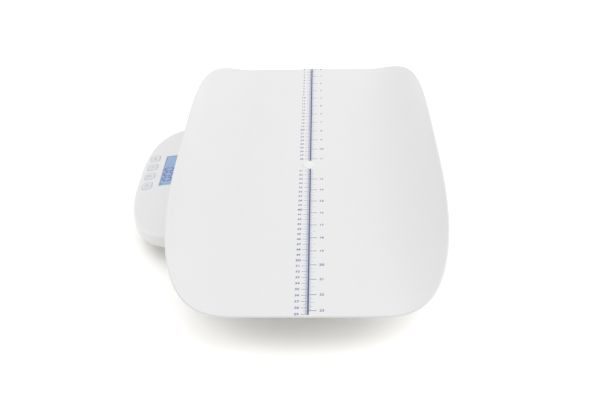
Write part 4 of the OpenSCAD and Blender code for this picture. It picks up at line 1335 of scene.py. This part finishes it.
# %% Finishes of the frame's own pieces
FINISHES = {
    ZINC_STEEL: ["tray_screw", "post_screws", "carrier_screws", "neck_screws", "board_screws",
                 "overload_stops"],
    ALUMINIUM: ["carrier_plate", "carrier_posts", "cell_spacer"],
    MACHINED: ["load_cell"],
    RUBBER: ["post_pads"],
    BATTERY_FOIL: ["batteries"],
    NICKEL: ["battery_springs", "battery_plates"],
    RED_PVC: ["battery_lead"],
    GREY_PVC: ["load_cell_lead"],
    BACKLIT_LCD: ["lcd_panel"],
    GUIDE_ACRYLIC: ["light_guide"],
    NYLON: ["display_frame", "board_sockets"],
    FIBREGLASS: ["circuit_board"],
    EPOXY: ["board_parts", "buzzer"],
    SILICONE: ["key_mat"]}
for material, nodes in FINISHES.items():
    for node in nodes:
        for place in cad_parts[node].material_slots:
            place.material = material
print("finished:", sum(len(nodes) for nodes in FINISHES.values()), "inner pieces")

# %% [markdown]
# ## Scene
# A pale floor under an even sky, with soft boxes above and on both sides. The floor is
# brighter to rays that see it directly than to the rays that light things, so it looks white
# and throws no extra light on the scale. Near the scale an Ambient Occlusion node takes part
# of that back: painted shade on the floor, which deepens the scale's real shadow.

# %% Floor, world and lamps
FLOOR_HALF = 4.0
FLOOR_GAIN = 1.58
SHADE_GAIN = 1.1
SHADE_REACH = 0.3
SHADE_SPAN = (0.25, 0.52)
FLOOR_TINT = "FFFEFC"
SKY_FILL = 0.78
LAMP_AIM = (0, 0, 0.05)
# Name, place, width in metres and watts of each soft box
SOFT_BOXES = (("top_box", (0, 0.1, 2.2), 2.2, 3), ("right_box", (1.9, 0.1, 1.4), 1.5, 11),
              ("left_box", (-1.9, 0.1, 1.4), 1.5, 4.5))


def seen_directly(tree):
    """1 for camera, mirror and see-through rays, and 0 for the rays that light things."""
    path = add(tree, "ShaderNodeLightPath").outputs
    either = add(tree, MATH, "MAXIMUM", path["Is Camera Ray"], path["Is Glossy Ray"])
    return add(tree, MATH, "MAXIMUM", either, path["Is Transmission Ray"])


def build_floor():
    bm = bmesh.new()
    bmesh.ops.create_grid(bm, x_segments=1, y_segments=1, size=FLOOR_HALF)
    material, tree, shader, point = new_material("white_floor")
    speck = add(tree, NOISE, Vector=point, Scale=2.0)
    shade = add(tree, SPAN, Value=speck.outputs["Fac"], To_Min=0.88, To_Max=0.9)
    # Painted shade: where the scale is close, the floor's seen colour gets less gain, which darkens it
    # beyond its real shadow
    reach = add(tree, "ShaderNodeAmbientOcclusion", Distance=SHADE_REACH)
    painted_shade_gain = add(tree, SPAN, Value=reach.outputs["AO"], From_Min=SHADE_SPAN[0],
               From_Max=SHADE_SPAN[1], To_Min=SHADE_GAIN, To_Max=FLOOR_GAIN)
    gain = add(tree, SPAN, Value=seen_directly(tree), To_Min=1.0, To_Max=painted_shade_gain)
    white = add(tree, MATH, "MULTIPLY", shade, gain)
    warm = add(tree, MIX, {**COLOURS, "blend_type": "MULTIPLY"}, Factor=1.0, _6=white,
               _7=srgb(FLOOR_TINT))
    tree.links.new(warm.outputs[2], shader.inputs["Base Color"])
    set_shader(shader, Roughness=0.9, Specular_IOR_Level=0.0)
    floor = make_object("floor", finish_mesh(bm, "floor"), material)


def build_world(fill):
    world = bpy.data.worlds.new("studio")
    bpy.context.scene.world = world
    world.use_nodes = True
    tree = world.node_tree
    tree.nodes.clear()
    strength = add(tree, SPAN, Value=seen_directly(tree), To_Min=fill, To_Max=1.0)
    sky = add(tree, "ShaderNodeBackground", Color=(1, 1, 1, 1), Strength=strength)
    add(tree, "ShaderNodeOutputWorld", Surface=sky)


def soft_box(name, place, size, watts):
    """A square lamp that faces the middle of the scale."""
    lamp = bpy.data.lights.new(name, "AREA")
    lamp.shape = "SQUARE"
    lamp.size = size
    lamp.energy = watts
    holder = bpy.data.objects.new(name, lamp)
    bpy.context.collection.objects.link(holder)
    holder.location = place
    facing = Vector(LAMP_AIM) - Vector(place)
    holder.rotation_euler = facing.to_track_quat("-Z", "Y").to_euler()


build_floor()
build_world(SKY_FILL)
for box in SOFT_BOXES:
    soft_box(*box)
bpy.context.scene.view_settings.view_transform = "Standard"
print("floor, world and lamps in place")
